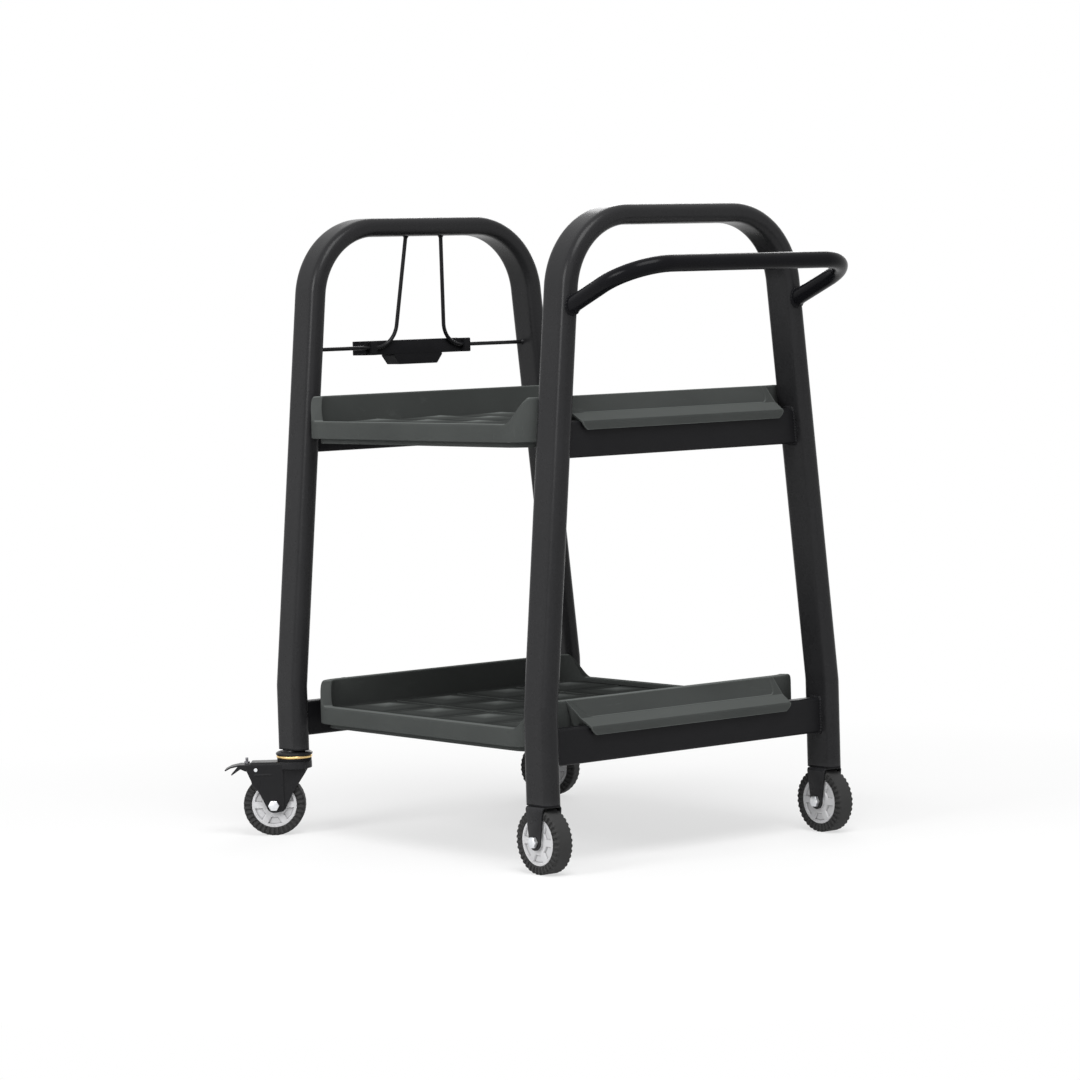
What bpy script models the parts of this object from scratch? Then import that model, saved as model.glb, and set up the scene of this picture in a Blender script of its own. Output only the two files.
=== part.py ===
"""Storage cart: two steel arches, two moulded trays, a push handle and four castors.

Rear is the push handle's side (-Y), front is +Y, left is -X and right is +X. Sizes are in metres.
The cart stands on the floor at Z = 0, and the origin is on the floor under the middle of its box.
"""
import math

import bmesh
import bpy
from mathutils import Matrix, Vector

# Clearances
SEAT_GAP = 0.0003
RUN_GAP = 0.0006
SPIN_GAP = 0.0010

# Wheels, the same on all four castors
WHEEL_DIAMETER = 0.100
TYRE_WIDTH = 0.0317
TYRE_SHOULDER = 0.0026
RIM_DIAMETER = 0.0730
HUB_DIAMETER = 0.0240
HUB_WIDTH = 0.0318
CORE_WIDTH = 0.0270
POCKET_DEPTH = 0.0080
POCKET_COUNT = 6
POCKET_LAND = 0.0045
BUSH_DIAMETER = 0.0150
BOLT_DIAMETER = 0.0100
BOLT_HEAD = 0.0170
BOLT_HEAD_HEIGHT = 0.0064
NUT_HEIGHT = 0.0080

# Arches: tube 30 x 60 mm, legs leaning in above the knee
ARCH_STANDOFF = 0.03265
TUBE_THICK = 0.0300
TUBE_DEEP = 0.0600
TUBE_CORNER = 0.0124
TUBE_WALL = 0.0020
LEG_SPREAD = 0.5734
KNEE_HEIGHT = 0.2428
LEG_LEAN = math.radians(5.65)
BEND_RADIUS = 0.1189
CART_HEIGHT = 0.9974

# Crossbars
BAR_THICK = 0.0220
BAR_TALL = 0.0560
BAR_CORNER = 0.0050
BAR_WALL = 0.0020
LOWER_BAR_BASE = 0.1600
UPPER_BAR_BELOW_TOP = 0.3774

# Push handle
HANDLE_DIAMETER = 0.0254
HANDLE_WALL = 0.0020
HANDLE_BELOW_TOP = 0.1486
HANDLE_REACH = 0.1412
HANDLE_RISE = 0.0570
HANDLE_BEND = 0.0758

# Trays
TRAY_WIDTH = 0.5640
TRAY_LENGTH = 0.5800
TRAY_CORNER = 0.0580
TRAY_WALL = 0.0050
TRAY_DECK = 0.0040
TRAY_ABOVE_BAR = 0.0355
SKIRT_TALL = 0.0275
RIM_ABOVE_FLOOR = 0.0070
END_WALL_RISE = 0.0390
CURVE_START_INSET = 0.0410
CURVE_END_INSET = 0.0070
APRON_WIDTH = 0.4220
APRON_FOLD_WIDTH = 0.4060
APRON_LIP_WIDTH = 0.3860
APRON_SHEET = 0.0025
APRON_RUN = 0.0280
APRON_DROP = 0.0250
APRON_FOLD_DROP = 0.0125
LIP_TALL = 0.0125
LIP_GAP = 0.0040
PANEL_WIDTH = 0.4100
PANEL_BASE_WIDTH = 0.3820
PANEL_SINK = 0.0010
HOOK_DROP = 0.0110
WEB_COUNT = 3
WEB_THICK = 0.0040
RIB_THICK = 0.0030
RIB_COUNT = 1
BASIN_INSET = 0.0140
BASIN_TALL = 0.0290
QUILT_COUNT = 4
QUILT_EDGE_X = 0.0310
QUILT_EDGE_Y = 0.0280
QUILT_GROOVE = 0.0060
QUILT_RISE = 0.0070
QUILT_CREST = 0.0100

# Clipboard holder
WIRE_DIAMETER = 0.0065
WIRE_TOP_SPREAD = 0.0724
WIRE_TOP_SET_BACK = 0.0123
WIRE_SPREAD_SLOPE = 0.0860
WIRE_LEAN_SLOPE = 0.1080
WIRE_BEND = 0.0400
WIRE_DROP = 0.2120
LEDGE_WIDTH = 0.2180
LEDGE_DEEP = 0.0360
LEDGE_TALL = 0.0230
LEDGE_SHEET = 0.0026
LEDGE_ABOVE_WIRE = 0.0106
LEDGE_KEEL_TOP = 0.1060
LEDGE_KEEL_BASE = 0.0780
LEDGE_KEEL_TALL = 0.0170
CLIP_WIDTH = 0.0120
CLIP_WALL = 0.0022

# Fixed castors
CROWN_GAP = 0.0010
CROWN_THICK = 0.0023
FORK_SHEET = 0.0028
FORK_TOP_LENGTH = 0.0400
FORK_FOOT_RADIUS = 0.0130
PLUG_FLANGE = 0.0020
PLUG_DEPTH = 0.0300

# Swivel castors
STEM_DIAMETER = 0.0120
STEM_LENGTH = 0.0500
NECK_DIAMETER = 0.0380
NECK_HEIGHT = 0.0025
CAP_DIAMETER = 0.0605
CAP_HEIGHT = 0.0057
RACE_DIAMETER = 0.0580
RACE_HEIGHT = 0.0060
SEAL_DIAMETER = 0.0560
SEAL_HEIGHT = 0.0026
SWIVEL_CROWN_HEIGHT = 0.1204
SWIVEL_SHEET = 0.0025
CUP_DIAMETER = 0.0570
CUP_TALL = 0.0115
CUP_BORE = 0.0210
TRAIL = 0.0340
SWIVEL_FOOT_RADIUS = 0.0120
SWIVEL_FORK_GAP = 0.0370
FORK_STEP = 0.0015
FORK_STEP_AT = 0.0170
GROOVE_DEPTH = 0.0006
PIN_DIAMETER = 0.0060
PIN_TRAIL = 0.0617
PIN_HEIGHT = 0.1087
PEDAL_WIDTH = 0.0330
SCREW_DIAMETER = 0.0050
SCREW_NUT = 0.0090
SCREW_NUT_HEIGHT = 0.0040
SCREW_HEIGHT = 0.0100
SCREW_REACH = 0.0158
LEFT_SWIVEL_TURN = math.radians(140.0)
RIGHT_SWIVEL_TURN = math.radians(118.0)

# Facets
ROUND_STEPS = 14
WHEEL_STEPS = 28
RING_STEPS = 16
CORNER_STEPS = 3
BEND_STEPS = 6

# Colour, roughness and metallic value of each finish
FINISHES = {
    "powder_coat": ((0.030, 0.030, 0.031), 0.45, 0.0),
    "tray_plastic": ((0.075, 0.080, 0.078), 0.62, 0.0),
    "black_plastic": ((0.012, 0.012, 0.013), 0.55, 0.0),
    "black_wire": ((0.015, 0.015, 0.016), 0.35, 0.0),
    "grey_plastic": ((0.440, 0.440, 0.450), 0.50, 0.0),
    "rubber": ((0.020, 0.020, 0.021), 0.75, 0.0),
    "zinc": ((0.720, 0.720, 0.730), 0.30, 1.0),
    "yellow_zinc": ((0.640, 0.420, 0.120), 0.32, 1.0),
    "fork_steel": ((0.035, 0.036, 0.038), 0.42, 0.6),
}

# Values worked out from the sizes above
ARCH_SPREAD = TRAY_LENGTH + 2 * ARCH_STANDOFF
HALF_SPREAD = ARCH_SPREAD / 2
CURVE_START = TRAY_LENGTH / 2 - CURVE_START_INSET
CURVE_END = TRAY_LENGTH / 2 - CURVE_END_INSET
QUILT_PITCH_X = (TRAY_WIDTH - 2 * QUILT_EDGE_X) / QUILT_COUNT
QUILT_PITCH_Y = (TRAY_LENGTH - 2 * QUILT_EDGE_Y) / QUILT_COUNT
HANDLE_FOOT_HEIGHT = CART_HEIGHT - HANDLE_BELOW_TOP
WIRE_LEVEL = CART_HEIGHT - WIRE_DROP
LEVEL_STEP = CART_HEIGHT - UPPER_BAR_BELOW_TOP - LOWER_BAR_BASE
WHEEL_RADIUS = WHEEL_DIAMETER / 2
REAR_PLUG_BASE = WHEEL_DIAMETER + CROWN_GAP + CROWN_THICK + SEAT_GAP
SEAL_TOP = SWIVEL_CROWN_HEIGHT + SEAT_GAP + SEAL_HEIGHT
RACE_BASE = SEAL_TOP + RUN_GAP
CAP_BASE = RACE_BASE + RACE_HEIGHT + SEAT_GAP
NECK_BASE = CAP_BASE + CAP_HEIGHT
FRONT_PLUG_BASE = NECK_BASE + NECK_HEIGHT + SEAT_GAP
TRAY_TOP = LOWER_BAR_BASE + BAR_TALL + TRAY_ABOVE_BAR
TRAY_RIM = TRAY_TOP - END_WALL_RISE
TRAY_FLOOR = TRAY_RIM - RIM_ABOVE_FLOOR
WIRE_RADIUS = WIRE_DIAMETER / 2


def clear_scene():
    """Remove every object that the file starts with."""
    for item in list(bpy.data.objects):
        bpy.data.objects.remove(item, do_unlink=True)


def finish(item, kind):
    """Give an object a material of its own."""
    colour, roughness, metallic = FINISHES[kind]
    material = bpy.data.materials.new(item.name + "_finish")
    material.use_nodes = True
    shader = material.node_tree.nodes["Principled BSDF"]
    shader.inputs["Base Color"].default_value = (*colour, 1.0)
    shader.inputs["Roughness"].default_value = roughness
    shader.inputs["Metallic"].default_value = metallic
    item.data.materials.clear()
    item.data.materials.append(material)
    return item


def new_object(name, mesh, parent=None):
    """Link a mesh under a name, with smooth rounds and sharp edges."""
    mesh.shade_smooth()
    mesh.set_sharp_from_angle(angle=math.radians(35.0))
    item = bpy.data.objects.new(name, mesh)
    bpy.context.scene.collection.objects.link(item)
    if parent is not None:
        item.parent = parent
    return item


def empty(name, place, parent=None, turn=0.0):
    """An axis or a frame that pieces hang on."""
    item = bpy.data.objects.new(name, None)
    item.empty_display_size = 0.02
    bpy.context.scene.collection.objects.link(item)
    item.location = place
    item.rotation_euler = (0.0, 0.0, turn)
    if parent is not None:
        item.parent = parent
    return item


def mesh_from(name, points, faces):
    """A mesh whose faces all point outwards."""
    mesh = bpy.data.meshes.new(name)
    mesh.from_pydata([tuple(point) for point in points], [], faces)
    work = bmesh.new()
    work.from_mesh(mesh)
    bmesh.ops.connect_verts_nonplanar(work, angle_limit=math.radians(0.05), faces=work.faces)
    bmesh.ops.recalc_face_normals(work, faces=work.faces)
    work.to_mesh(mesh)
    work.free()
    return mesh


def loft(rings, holes=None):
    """Points and faces of a body through closed rings, with a bore through it if holes are given."""
    points = []
    faces = []

    def add_skin(skin):
        base = len(points)
        count = len(skin[0])
        for ring in skin:
            points.extend(ring)
        for row in range(len(skin) - 1):
            for col in range(count):
                after = (col + 1) % count
                low = base + row * count
                faces.append((low + col, low + after, low + count + after, low + count + col))
        return base, count, len(skin)

    outer = add_skin(rings)
    if holes is None:
        base, count, rows = outer
        faces.append(tuple(base + col for col in reversed(range(count))))
        faces.append(tuple(base + (rows - 1) * count + col for col in range(count)))
        return points, faces
    inner = add_skin(holes)
    for end in (0, 1):
        bridge_ends(points, faces, outer, inner, end)
    return points, faces


def bridge_ends(points, faces, outer, inner, end):
    """Close the wall of a tube between its outer and inner ring at one end."""
    base_a, count_a, rows_a = outer
    base_b, count_b, rows_b = inner
    start_a = base_a + (rows_a - 1) * count_a * end
    start_b = base_b + (rows_b - 1) * count_b * end
    share = count_a // count_b
    for col in range(count_b):
        after = (col + 1) % count_b
        for step in range(share):
            here = start_a + col * share + step
            there = start_a + (col * share + step + 1) % count_a
            if step < share - 1:
                faces.append((here, there, start_b + col))
            else:
                faces.append((here, there, start_b + after, start_b + col))


def round_ring(radius, steps=ROUND_STEPS, turn=0.0):
    """Points of a circle in the plane, anticlockwise."""
    step = 2 * math.pi / steps
    return [(radius * math.cos(turn + i * step), radius * math.sin(turn + i * step)) for i in range(steps)]


def rounded_rectangle(width, depth, corner, steps=CORNER_STEPS):
    """Points of a rectangle with round corners, anticlockwise from its +X side."""
    points = []
    for quarter, (side_x, side_y) in enumerate(((1, 1), (-1, 1), (-1, -1), (1, -1))):
        centre_x = side_x * (width / 2 - corner)
        centre_y = side_y * (depth / 2 - corner)
        for i in range(steps + 1):
            angle = (quarter + i / steps) * math.pi / 2
            points.append((centre_x + corner * math.cos(angle), centre_y + corner * math.sin(angle)))
    return points


def prism(name, outline, low, high, axis="Z", parent=None):
    """Extrude an outline along an axis; the outline lies in the other two axes, in X, Y, Z order."""
    def place(a, b, along):
        if axis == "X":
            return (along, a, b)
        if axis == "Y":
            return (a, along, b)
        return (a, b, along)

    rings = [[place(a, b, along) for a, b in outline] for along in (low, high)]
    return new_object(name, mesh_from(name, *loft(rings)), parent)


def box(name, low, high, parent=None):
    """A plain block between two corners."""
    outline = [(low[0], low[1]), (high[0], low[1]), (high[0], high[1]), (low[0], high[1])]
    return prism(name, outline, low[2], high[2], "Z", parent)


def turned(name, profile, steps, axis="Z", parent=None, bored=True):
    """Turn a closed profile of (radius, along) points about an axis."""
    points = []
    faces = []
    count = len(profile)
    for i in range(steps):
        angle = 2 * math.pi * i / steps
        for radius, along in profile:
            across = (radius * math.cos(angle), radius * math.sin(angle))
            if axis == "Z":
                points.append((across[0], across[1], along))
            else:
                points.append((across[0], along, across[1]))
    spans = count if bored else count - 1
    for i in range(steps):
        after = (i + 1) % steps
        for j in range(spans):
            k = (j + 1) % count
            faces.append((i * count + j, after * count + j, after * count + k, i * count + k))
    if not bored:
        faces.append(tuple(i * count for i in range(steps)))
        faces.append(tuple(i * count + count - 1 for i in range(steps)))
    return new_object(name, mesh_from(name, points, faces), parent)


def combine(target, tools, operation):
    """Join or cut a body with others, which are used up."""
    for tool in tools:
        tool.hide_render = True
        tool.display_type = "WIRE"
        change = target.modifiers.new(operation.lower(), "BOOLEAN")
        change.operation = operation
        change.object = tool
        change.solver = "EXACT"
        bpy.context.view_layer.update()
        result = target.evaluated_get(bpy.context.evaluated_depsgraph_get())
        mesh = bpy.data.meshes.new_from_object(result)
        target.modifiers.clear()
        old = target.data
        target.data = mesh
        bpy.data.meshes.remove(old)
        bpy.data.objects.remove(tool, do_unlink=True)
    tidy(target)
    return target


def tidy(item):
    """Merge the seams that a Boolean leaves, and shade the body again."""
    work = bmesh.new()
    work.from_mesh(item.data)
    bmesh.ops.remove_doubles(work, verts=work.verts, dist=0.000002)
    bmesh.ops.dissolve_degenerate(work, edges=work.edges, dist=0.000002)
    work.to_mesh(item.data)
    work.free()
    item.data.shade_smooth()
    item.data.set_sharp_from_angle(angle=math.radians(35.0))


def path_frames(path, side):
    """For each point of a flat path: the point and the in-plane normal, stretched at mitres."""
    frames = []
    for i, point in enumerate(path):
        before = (point - path[i - 1]).normalized() if i > 0 else None
        after = (path[i + 1] - point).normalized() if i < len(path) - 1 else None
        if before is None:
            before = after
        if after is None:
            after = before
        along = (before + after).normalized()
        normal = along.cross(side).normalized()
        stretch = 1.0 / max(0.2, along.dot(after))
        frames.append((point, normal * stretch))
    return frames


def sweep(path, side, section):
    """Rings of a section carried along a flat path; its first axis is the path's normal."""
    rings = []
    for point, normal in path_frames(path, side):
        rings.append([point + normal * u + side * v for u, v in section])
    return rings


def fillet(corner, before, after, radius, steps=BEND_STEPS):
    """Points of a round bend that replaces a corner between two directions."""
    turn = before.angle(after)
    reach = radius * math.tan(turn / 2)
    start = corner - before * reach
    towards = (after - before).normalized()
    centre = corner + towards * (radius / math.cos(turn / 2))
    arm = start - centre
    hinge = before.cross(after).normalized()
    return [centre + Matrix.Rotation(turn * i / steps, 3, hinge) @ arm for i in range(steps + 1)]


def leg_offset(height):
    """Distance of a leg's centre line from the middle of the cart at a height."""
    return LEG_SPREAD / 2 - max(0.0, height - KNEE_HEIGHT) * math.tan(LEG_LEAN)


def leg_inner(height):
    """Distance of a leg's inner face from the middle of the cart at a height."""
    lean = LEG_LEAN if height > KNEE_HEIGHT else 0.0
    return leg_offset(height) - TUBE_THICK / 2 / math.cos(lean)


def arch_path(foot):
    """Centre line of an arch, from the foot of its left leg to the foot of its right leg."""
    top = CART_HEIGHT - TUBE_THICK / 2
    side = []
    side.append((LEG_SPREAD / 2, foot))
    side.append((LEG_SPREAD / 2, KNEE_HEIGHT))
    tangent = top - BEND_RADIUS * (1 - math.sin(LEG_LEAN))
    centre_x = leg_offset(tangent) - BEND_RADIUS * math.cos(LEG_LEAN)
    centre_z = top - BEND_RADIUS
    for i in range(BEND_STEPS + 1):
        angle = LEG_LEAN + (math.pi / 2 - LEG_LEAN) * i / BEND_STEPS
        side.append((centre_x + BEND_RADIUS * math.cos(angle), centre_z + BEND_RADIUS * math.sin(angle)))
    left = [Vector((-x, 0.0, z)) for x, z in side]
    right = [Vector((x, 0.0, z)) for x, z in reversed(side)]
    return left + right


def arch_body(name, foot, place, parent, grow=0.0, solid=False):
    """An arch of oval-cornered tube, or the solid that it fills, grown by a clearance."""
    path = [point + Vector((0.0, place, 0.0)) for point in arch_path(foot)]
    side = Vector((0.0, 1.0, 0.0))
    outer = rounded_rectangle(TUBE_THICK + 2 * grow, TUBE_DEEP + 2 * grow, TUBE_CORNER + grow)
    rings = sweep(path, side, outer)
    holes = None
    if not solid:
        bore = rounded_rectangle(
            TUBE_THICK - 2 * TUBE_WALL, TUBE_DEEP - 2 * TUBE_WALL, TUBE_CORNER - TUBE_WALL, 1)
        holes = sweep(path, side, bore)
    return new_object(name, mesh_from(name, *loft(rings, holes)), parent)


def crossbar(name, base, place, parent):
    """A rectangular tube whose ends follow the lean of the legs."""
    outer = rounded_rectangle(BAR_THICK, BAR_TALL, BAR_CORNER)
    bore = rounded_rectangle(
        BAR_THICK - 2 * BAR_WALL, BAR_TALL - 2 * BAR_WALL, BAR_CORNER - BAR_WALL, 1)
    middle = base + BAR_TALL / 2

    def rings(section):
        both = []
        for side in (-1, 1):
            both.append([
                (side * (leg_inner(middle + b) - SEAT_GAP), place + a, middle + b) for a, b in section])
        return both

    bar = new_object(name, mesh_from(name, *loft(rings(outer), rings(bore))), parent)
    return finish(bar, "powder_coat")


def push_handle(parent):
    """The round tube that leaves the rear legs, rises and crosses behind the arch."""
    foot_x = leg_offset(HANDLE_FOOT_HEIGHT)
    start_y = -HALF_SPREAD
    face_y = -HALF_SPREAD - TUBE_DEEP / 2
    slope = HANDLE_RISE / HANDLE_REACH
    start = Vector((-foot_x, start_y, HANDLE_FOOT_HEIGHT - slope * (start_y - face_y)))
    corner = Vector((-foot_x, face_y - HANDLE_REACH, HANDLE_FOOT_HEIGHT + HANDLE_RISE))
    out = (corner - start).normalized()
    across = Vector((1.0, 0.0, 0.0))
    left = [start] + fillet(corner, out, across, HANDLE_BEND)
    mirror = Matrix.Diagonal((-1.0, 1.0, 1.0))
    path = left + [mirror @ point for point in reversed(left)]
    side = out.cross(across).normalized()
    outer = sweep(path, side, round_ring(HANDLE_DIAMETER / 2))
    bore = sweep(path, side, round_ring(HANDLE_DIAMETER / 2 - HANDLE_WALL, ROUND_STEPS // 2))
    handle = new_object("push_handle", mesh_from("push_handle", *loft(outer, bore)), parent)
    cutter = arch_body("handle_cope", REAR_PLUG_BASE, -HALF_SPREAD, parent, SEAT_GAP, True)
    combine(handle, [cutter], "DIFFERENCE")
    return finish(handle, "powder_coat")


def bent_sheet(line, sheet):
    """Outline of a bent sheet whose one face follows a line and whose body lies to its right."""
    inner = []
    for i, point in enumerate(line):
        here = Vector(point)
        ways = []
        if i > 0:
            ways.append((here - Vector(line[i - 1])).normalized())
        if i < len(line) - 1:
            ways.append((Vector(line[i + 1]) - here).normalized())
        along = sum(ways, Vector((0.0, 0.0))).normalized()
        normal = Vector((along.y, -along.x))
        inner.append(tuple(here + normal * (sheet / along.dot(ways[0]))))
    return list(line) + list(reversed(inner))


def tray_side_outline(base):
    """Side view of a tray between its skirt's edge and its top edge, as (Y, Z) points."""
    rise = TRAY_TOP - TRAY_RIM
    steps = 8
    curve = []
    for i in range(steps + 1):
        share = i / steps
        height = TRAY_RIM + rise * (share * share * (3 - 2 * share))
        curve.append((CURVE_START + (CURVE_END - CURVE_START) * share, height))
    half = TRAY_LENGTH / 2
    right = [(half, base)] + [(half, TRAY_TOP)] + list(reversed(curve))
    left = [(-y, z) for y, z in reversed(right)]
    return right + left


def apron_line():
    """Side view of an apron's outer face, from the end wall's top to the lip's edge."""
    half = TRAY_LENGTH / 2
    crease = (half + APRON_RUN, TRAY_TOP - APRON_DROP)
    lip_face = HALF_SPREAD + BAR_THICK / 2 + LIP_GAP + APRON_SHEET
    fold = (lip_face, crease[1] - APRON_FOLD_DROP)
    middle = (lip_face, fold[1] - LIP_TALL / 2)
    edge = (lip_face, fold[1] - LIP_TALL)
    return [(half - TRAY_WALL / 2, TRAY_TOP), (half, TRAY_TOP), crease, fold, middle, edge]


def apron_taper(height):
    """Half of an apron's width at a height, on its straight tapered ends."""
    share = (TRAY_TOP - height) / (APRON_DROP + APRON_FOLD_DROP)
    return APRON_WIDTH / 2 - share * (APRON_WIDTH - APRON_FOLD_WIDTH) / 2


def apron_half_width(height):
    """Half of an apron's width at a height: tapered above the fold, rounded below it."""
    share = (TRAY_TOP - APRON_DROP - APRON_FOLD_DROP - height) / LIP_TALL
    if share <= 0.0:
        return apron_taper(height)
    return APRON_FOLD_WIDTH / 2 - share * share * (APRON_FOLD_WIDTH - APRON_LIP_WIDTH) / 2


def apron_web_outline():
    """Side view of a web under an apron: it hooks behind the crossbar and rests on it."""
    line = apron_line()
    half = TRAY_LENGTH / 2
    inset = APRON_SHEET / 2
    seat = LOWER_BAR_BASE + BAR_TALL + SEAT_GAP
    reach = HALF_SPREAD + BAR_THICK / 2 - BAR_CORNER
    hook = HALF_SPREAD - BAR_THICK / 2 - SEAT_GAP
    return [
        (half - inset, TRAY_TOP - inset), (half + inset / 2, TRAY_TOP - inset),
        (line[2][0] - inset / 2, line[2][1] - inset), (reach, seat + 0.0035), (reach, seat), (hook, seat),
        (hook, seat - HOOK_DROP), (half - inset, seat - HOOK_DROP)]


def tray_apron(side, parent):
    """The sheet from an end wall's top over the crossbar, its end gussets and its webs."""
    line = apron_line()
    outline = bent_sheet(line, APRON_SHEET)
    rings = [[(end * apron_half_width(z), side * y, z) for y, z in outline] for end in (-1, 1)]
    pieces = [new_object("apron", mesh_from("apron", *loft(rings)), parent)]
    web = apron_web_outline()
    for end in (-1, 1):
        rings = []
        for inset in (0.0, APRON_SHEET):
            rings.append([(end * (apron_taper(z) - inset - SEAT_GAP), side * y, z) for y, z in web])
        pieces.append(new_object("gusset", mesh_from("gusset", *loft(rings)), parent))
    spread = APRON_LIP_WIDTH / WEB_COUNT
    for i in range(WEB_COUNT):
        at = (i - (WEB_COUNT - 1) / 2) * spread
        mirrored = [(side * y, z) for y, z in web]
        pieces.append(prism("web", mirrored, at - WEB_THICK / 2, at + WEB_THICK / 2, "X", parent))
    return pieces


def panel_cutter(side, parent):
    """A cutter for the shallow panel with round lower corners in an apron's upper face."""
    line = apron_line()
    start = Vector(line[1])
    along = Vector(line[2]) - start
    length = along.length
    along.normalize()
    out = Vector((-along.y, along.x))
    top = PANEL_WIDTH / 2
    base = PANEL_BASE_WIDTH / 2
    half = [(top, -0.003), (base + 0.004, length - 0.014), (base, length - 0.007)]
    half += [(base - 0.006, length - 0.002), (base - 0.014, length - 0.0005)]
    shape = half + [(-x, at) for x, at in reversed(half)]
    rings = []
    for lift in (-PANEL_SINK, 0.005):
        ring = []
        for x, at in shape:
            spot = start + along * at + out * lift
            ring.append((x, side * spot.x, spot.y))
        rings.append(ring)
    return new_object("panel", mesh_from("panel", *loft(rings)), parent)


def tray_quilt(parent):
    """The low hipped pads of a tray's floor, in rows with grooves between them."""
    pads = []
    sink = TRAY_DECK / 2
    half_x = (QUILT_PITCH_X - QUILT_GROOVE) / 2
    half_y = (QUILT_PITCH_Y - QUILT_GROOVE) / 2
    crest = QUILT_CREST / 2
    root_x = half_x + (half_x - crest) * sink / QUILT_RISE
    root_y = half_y + (half_y - crest) * sink / QUILT_RISE
    for row in range(QUILT_COUNT):
        for col in range(QUILT_COUNT):
            x = (col - (QUILT_COUNT - 1) / 2) * QUILT_PITCH_X
            y = (row - (QUILT_COUNT - 1) / 2) * QUILT_PITCH_Y
            rings = []
            for grow_x, grow_y, z in (
                    (root_x, root_y, TRAY_FLOOR - sink), (crest, crest, TRAY_FLOOR + QUILT_RISE)):
                rings.append([
                    (x - grow_x, y - grow_y, z), (x + grow_x, y - grow_y, z),
                    (x + grow_x, y + grow_y, z), (x - grow_x, y + grow_y, z)])
            pads.append(new_object("pad", mesh_from("pad", *loft(rings)), parent))
    return pads


def tray_underside(base, parent):
    """The ring and the crossed ribs below the deck."""
    top = TRAY_FLOOR - TRAY_DECK / 2
    low = TRAY_FLOOR - BASIN_TALL
    width = TRAY_WIDTH - 2 * BASIN_INSET
    length = TRAY_LENGTH - 2 * BASIN_INSET
    corner = TRAY_CORNER - BASIN_INSET / 2
    ring = prism("basin", rounded_rectangle(width, length, corner), low, top, "Z", parent)
    hollow = rounded_rectangle(width - 2 * RIB_THICK, length - 2 * RIB_THICK, corner - RIB_THICK)
    combine(ring, [prism("hollow", hollow, low - 0.01, top + 0.01, "Z", parent)], "DIFFERENCE")
    pieces = [ring]
    rib_low = low + RIB_THICK
    for i in range(RIB_COUNT):
        share = (i + 1) / (RIB_COUNT + 1) - 0.5
        x = share * width
        y = share * length
        reach_x = width / 2 - RIB_THICK / 2
        reach_y = length / 2 - RIB_THICK / 2
        half = RIB_THICK / 2
        pieces.append(box("rib", (x - half, -reach_y, rib_low), (x + half, reach_y, top), parent))
        pieces.append(box("rib", (-reach_x, y - half, rib_low), (reach_x, y + half, top), parent))
    return pieces


def tray(name, parent):
    """One moulded tray, modelled at the lower level."""
    base = TRAY_RIM - SKIRT_TALL
    half_wide = TRAY_WIDTH / 2
    body = prism(name, tray_side_outline(base), -half_wide, half_wide, "X", parent)
    plan = prism(
        "plan", rounded_rectangle(TRAY_WIDTH, TRAY_LENGTH, TRAY_CORNER), base - 0.01, TRAY_TOP + 0.01,
        "Z", parent)
    combine(body, [plan], "INTERSECT")
    inner = rounded_rectangle(
        TRAY_WIDTH - 2 * TRAY_WALL, TRAY_LENGTH - 2 * TRAY_WALL, TRAY_CORNER - TRAY_WALL)
    hollow = prism("hollow", inner, TRAY_FLOOR, TRAY_TOP + 0.01, "Z", parent)
    under = prism("under", inner, base - 0.01, TRAY_FLOOR - TRAY_DECK, "Z", parent)
    combine(body, [hollow, under], "DIFFERENCE")
    additions = tray_underside(base, parent) + tray_apron(-1, parent) + tray_apron(1, parent)
    combine(body, additions + tray_quilt(parent), "UNION")
    combine(body, [panel_cutter(-1, parent), panel_cutter(1, parent)], "DIFFERENCE")
    return finish(body, "tray_plastic")


def holder_wire(name, side, parent):
    """A wire that hangs from the top tube, leans out and turns to the leg."""
    top_z = CART_HEIGHT - TUBE_THICK - SEAT_GAP
    top = Vector((side * WIRE_TOP_SPREAD / 2, HALF_SPREAD - WIRE_TOP_SET_BACK, top_z))
    drop = top_z - WIRE_LEVEL
    corner = Vector((
        top.x + side * drop * WIRE_SPREAD_SLOPE, top.y + drop * WIRE_LEAN_SLOPE, WIRE_LEVEL))
    end = Vector((side * (leg_inner(WIRE_LEVEL) - SEAT_GAP), corner.y, WIRE_LEVEL))
    down = (corner - top).normalized()
    out = (end - corner).normalized()
    path = [top] + fillet(corner, down, out, WIRE_BEND) + [end]
    across = down.cross(out).normalized()
    section = round_ring(WIRE_RADIUS, 10)
    rings = sweep(path, across, section)
    rings[0] = flatten(rings[0], 2, top_z, down)
    lean = (leg_inner(WIRE_LEVEL - WIRE_RADIUS) - leg_inner(WIRE_LEVEL)) / WIRE_RADIUS
    rings[-1] = [
        Vector((side * (abs(end.x) - (p.z - end.z) * lean), p.y, p.z)) for p in rings[-1]]
    wire = new_object(name, mesh_from(name, *loft(rings)), parent)
    return finish(wire, "black_wire")


def flatten(ring, axis, level, along):
    """Slide a ring's points along a direction until they lie at one level."""
    flat = []
    for point in ring:
        shift = (level - point[axis]) / along[axis]
        flat.append(point + along * shift)
    return flat


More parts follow.
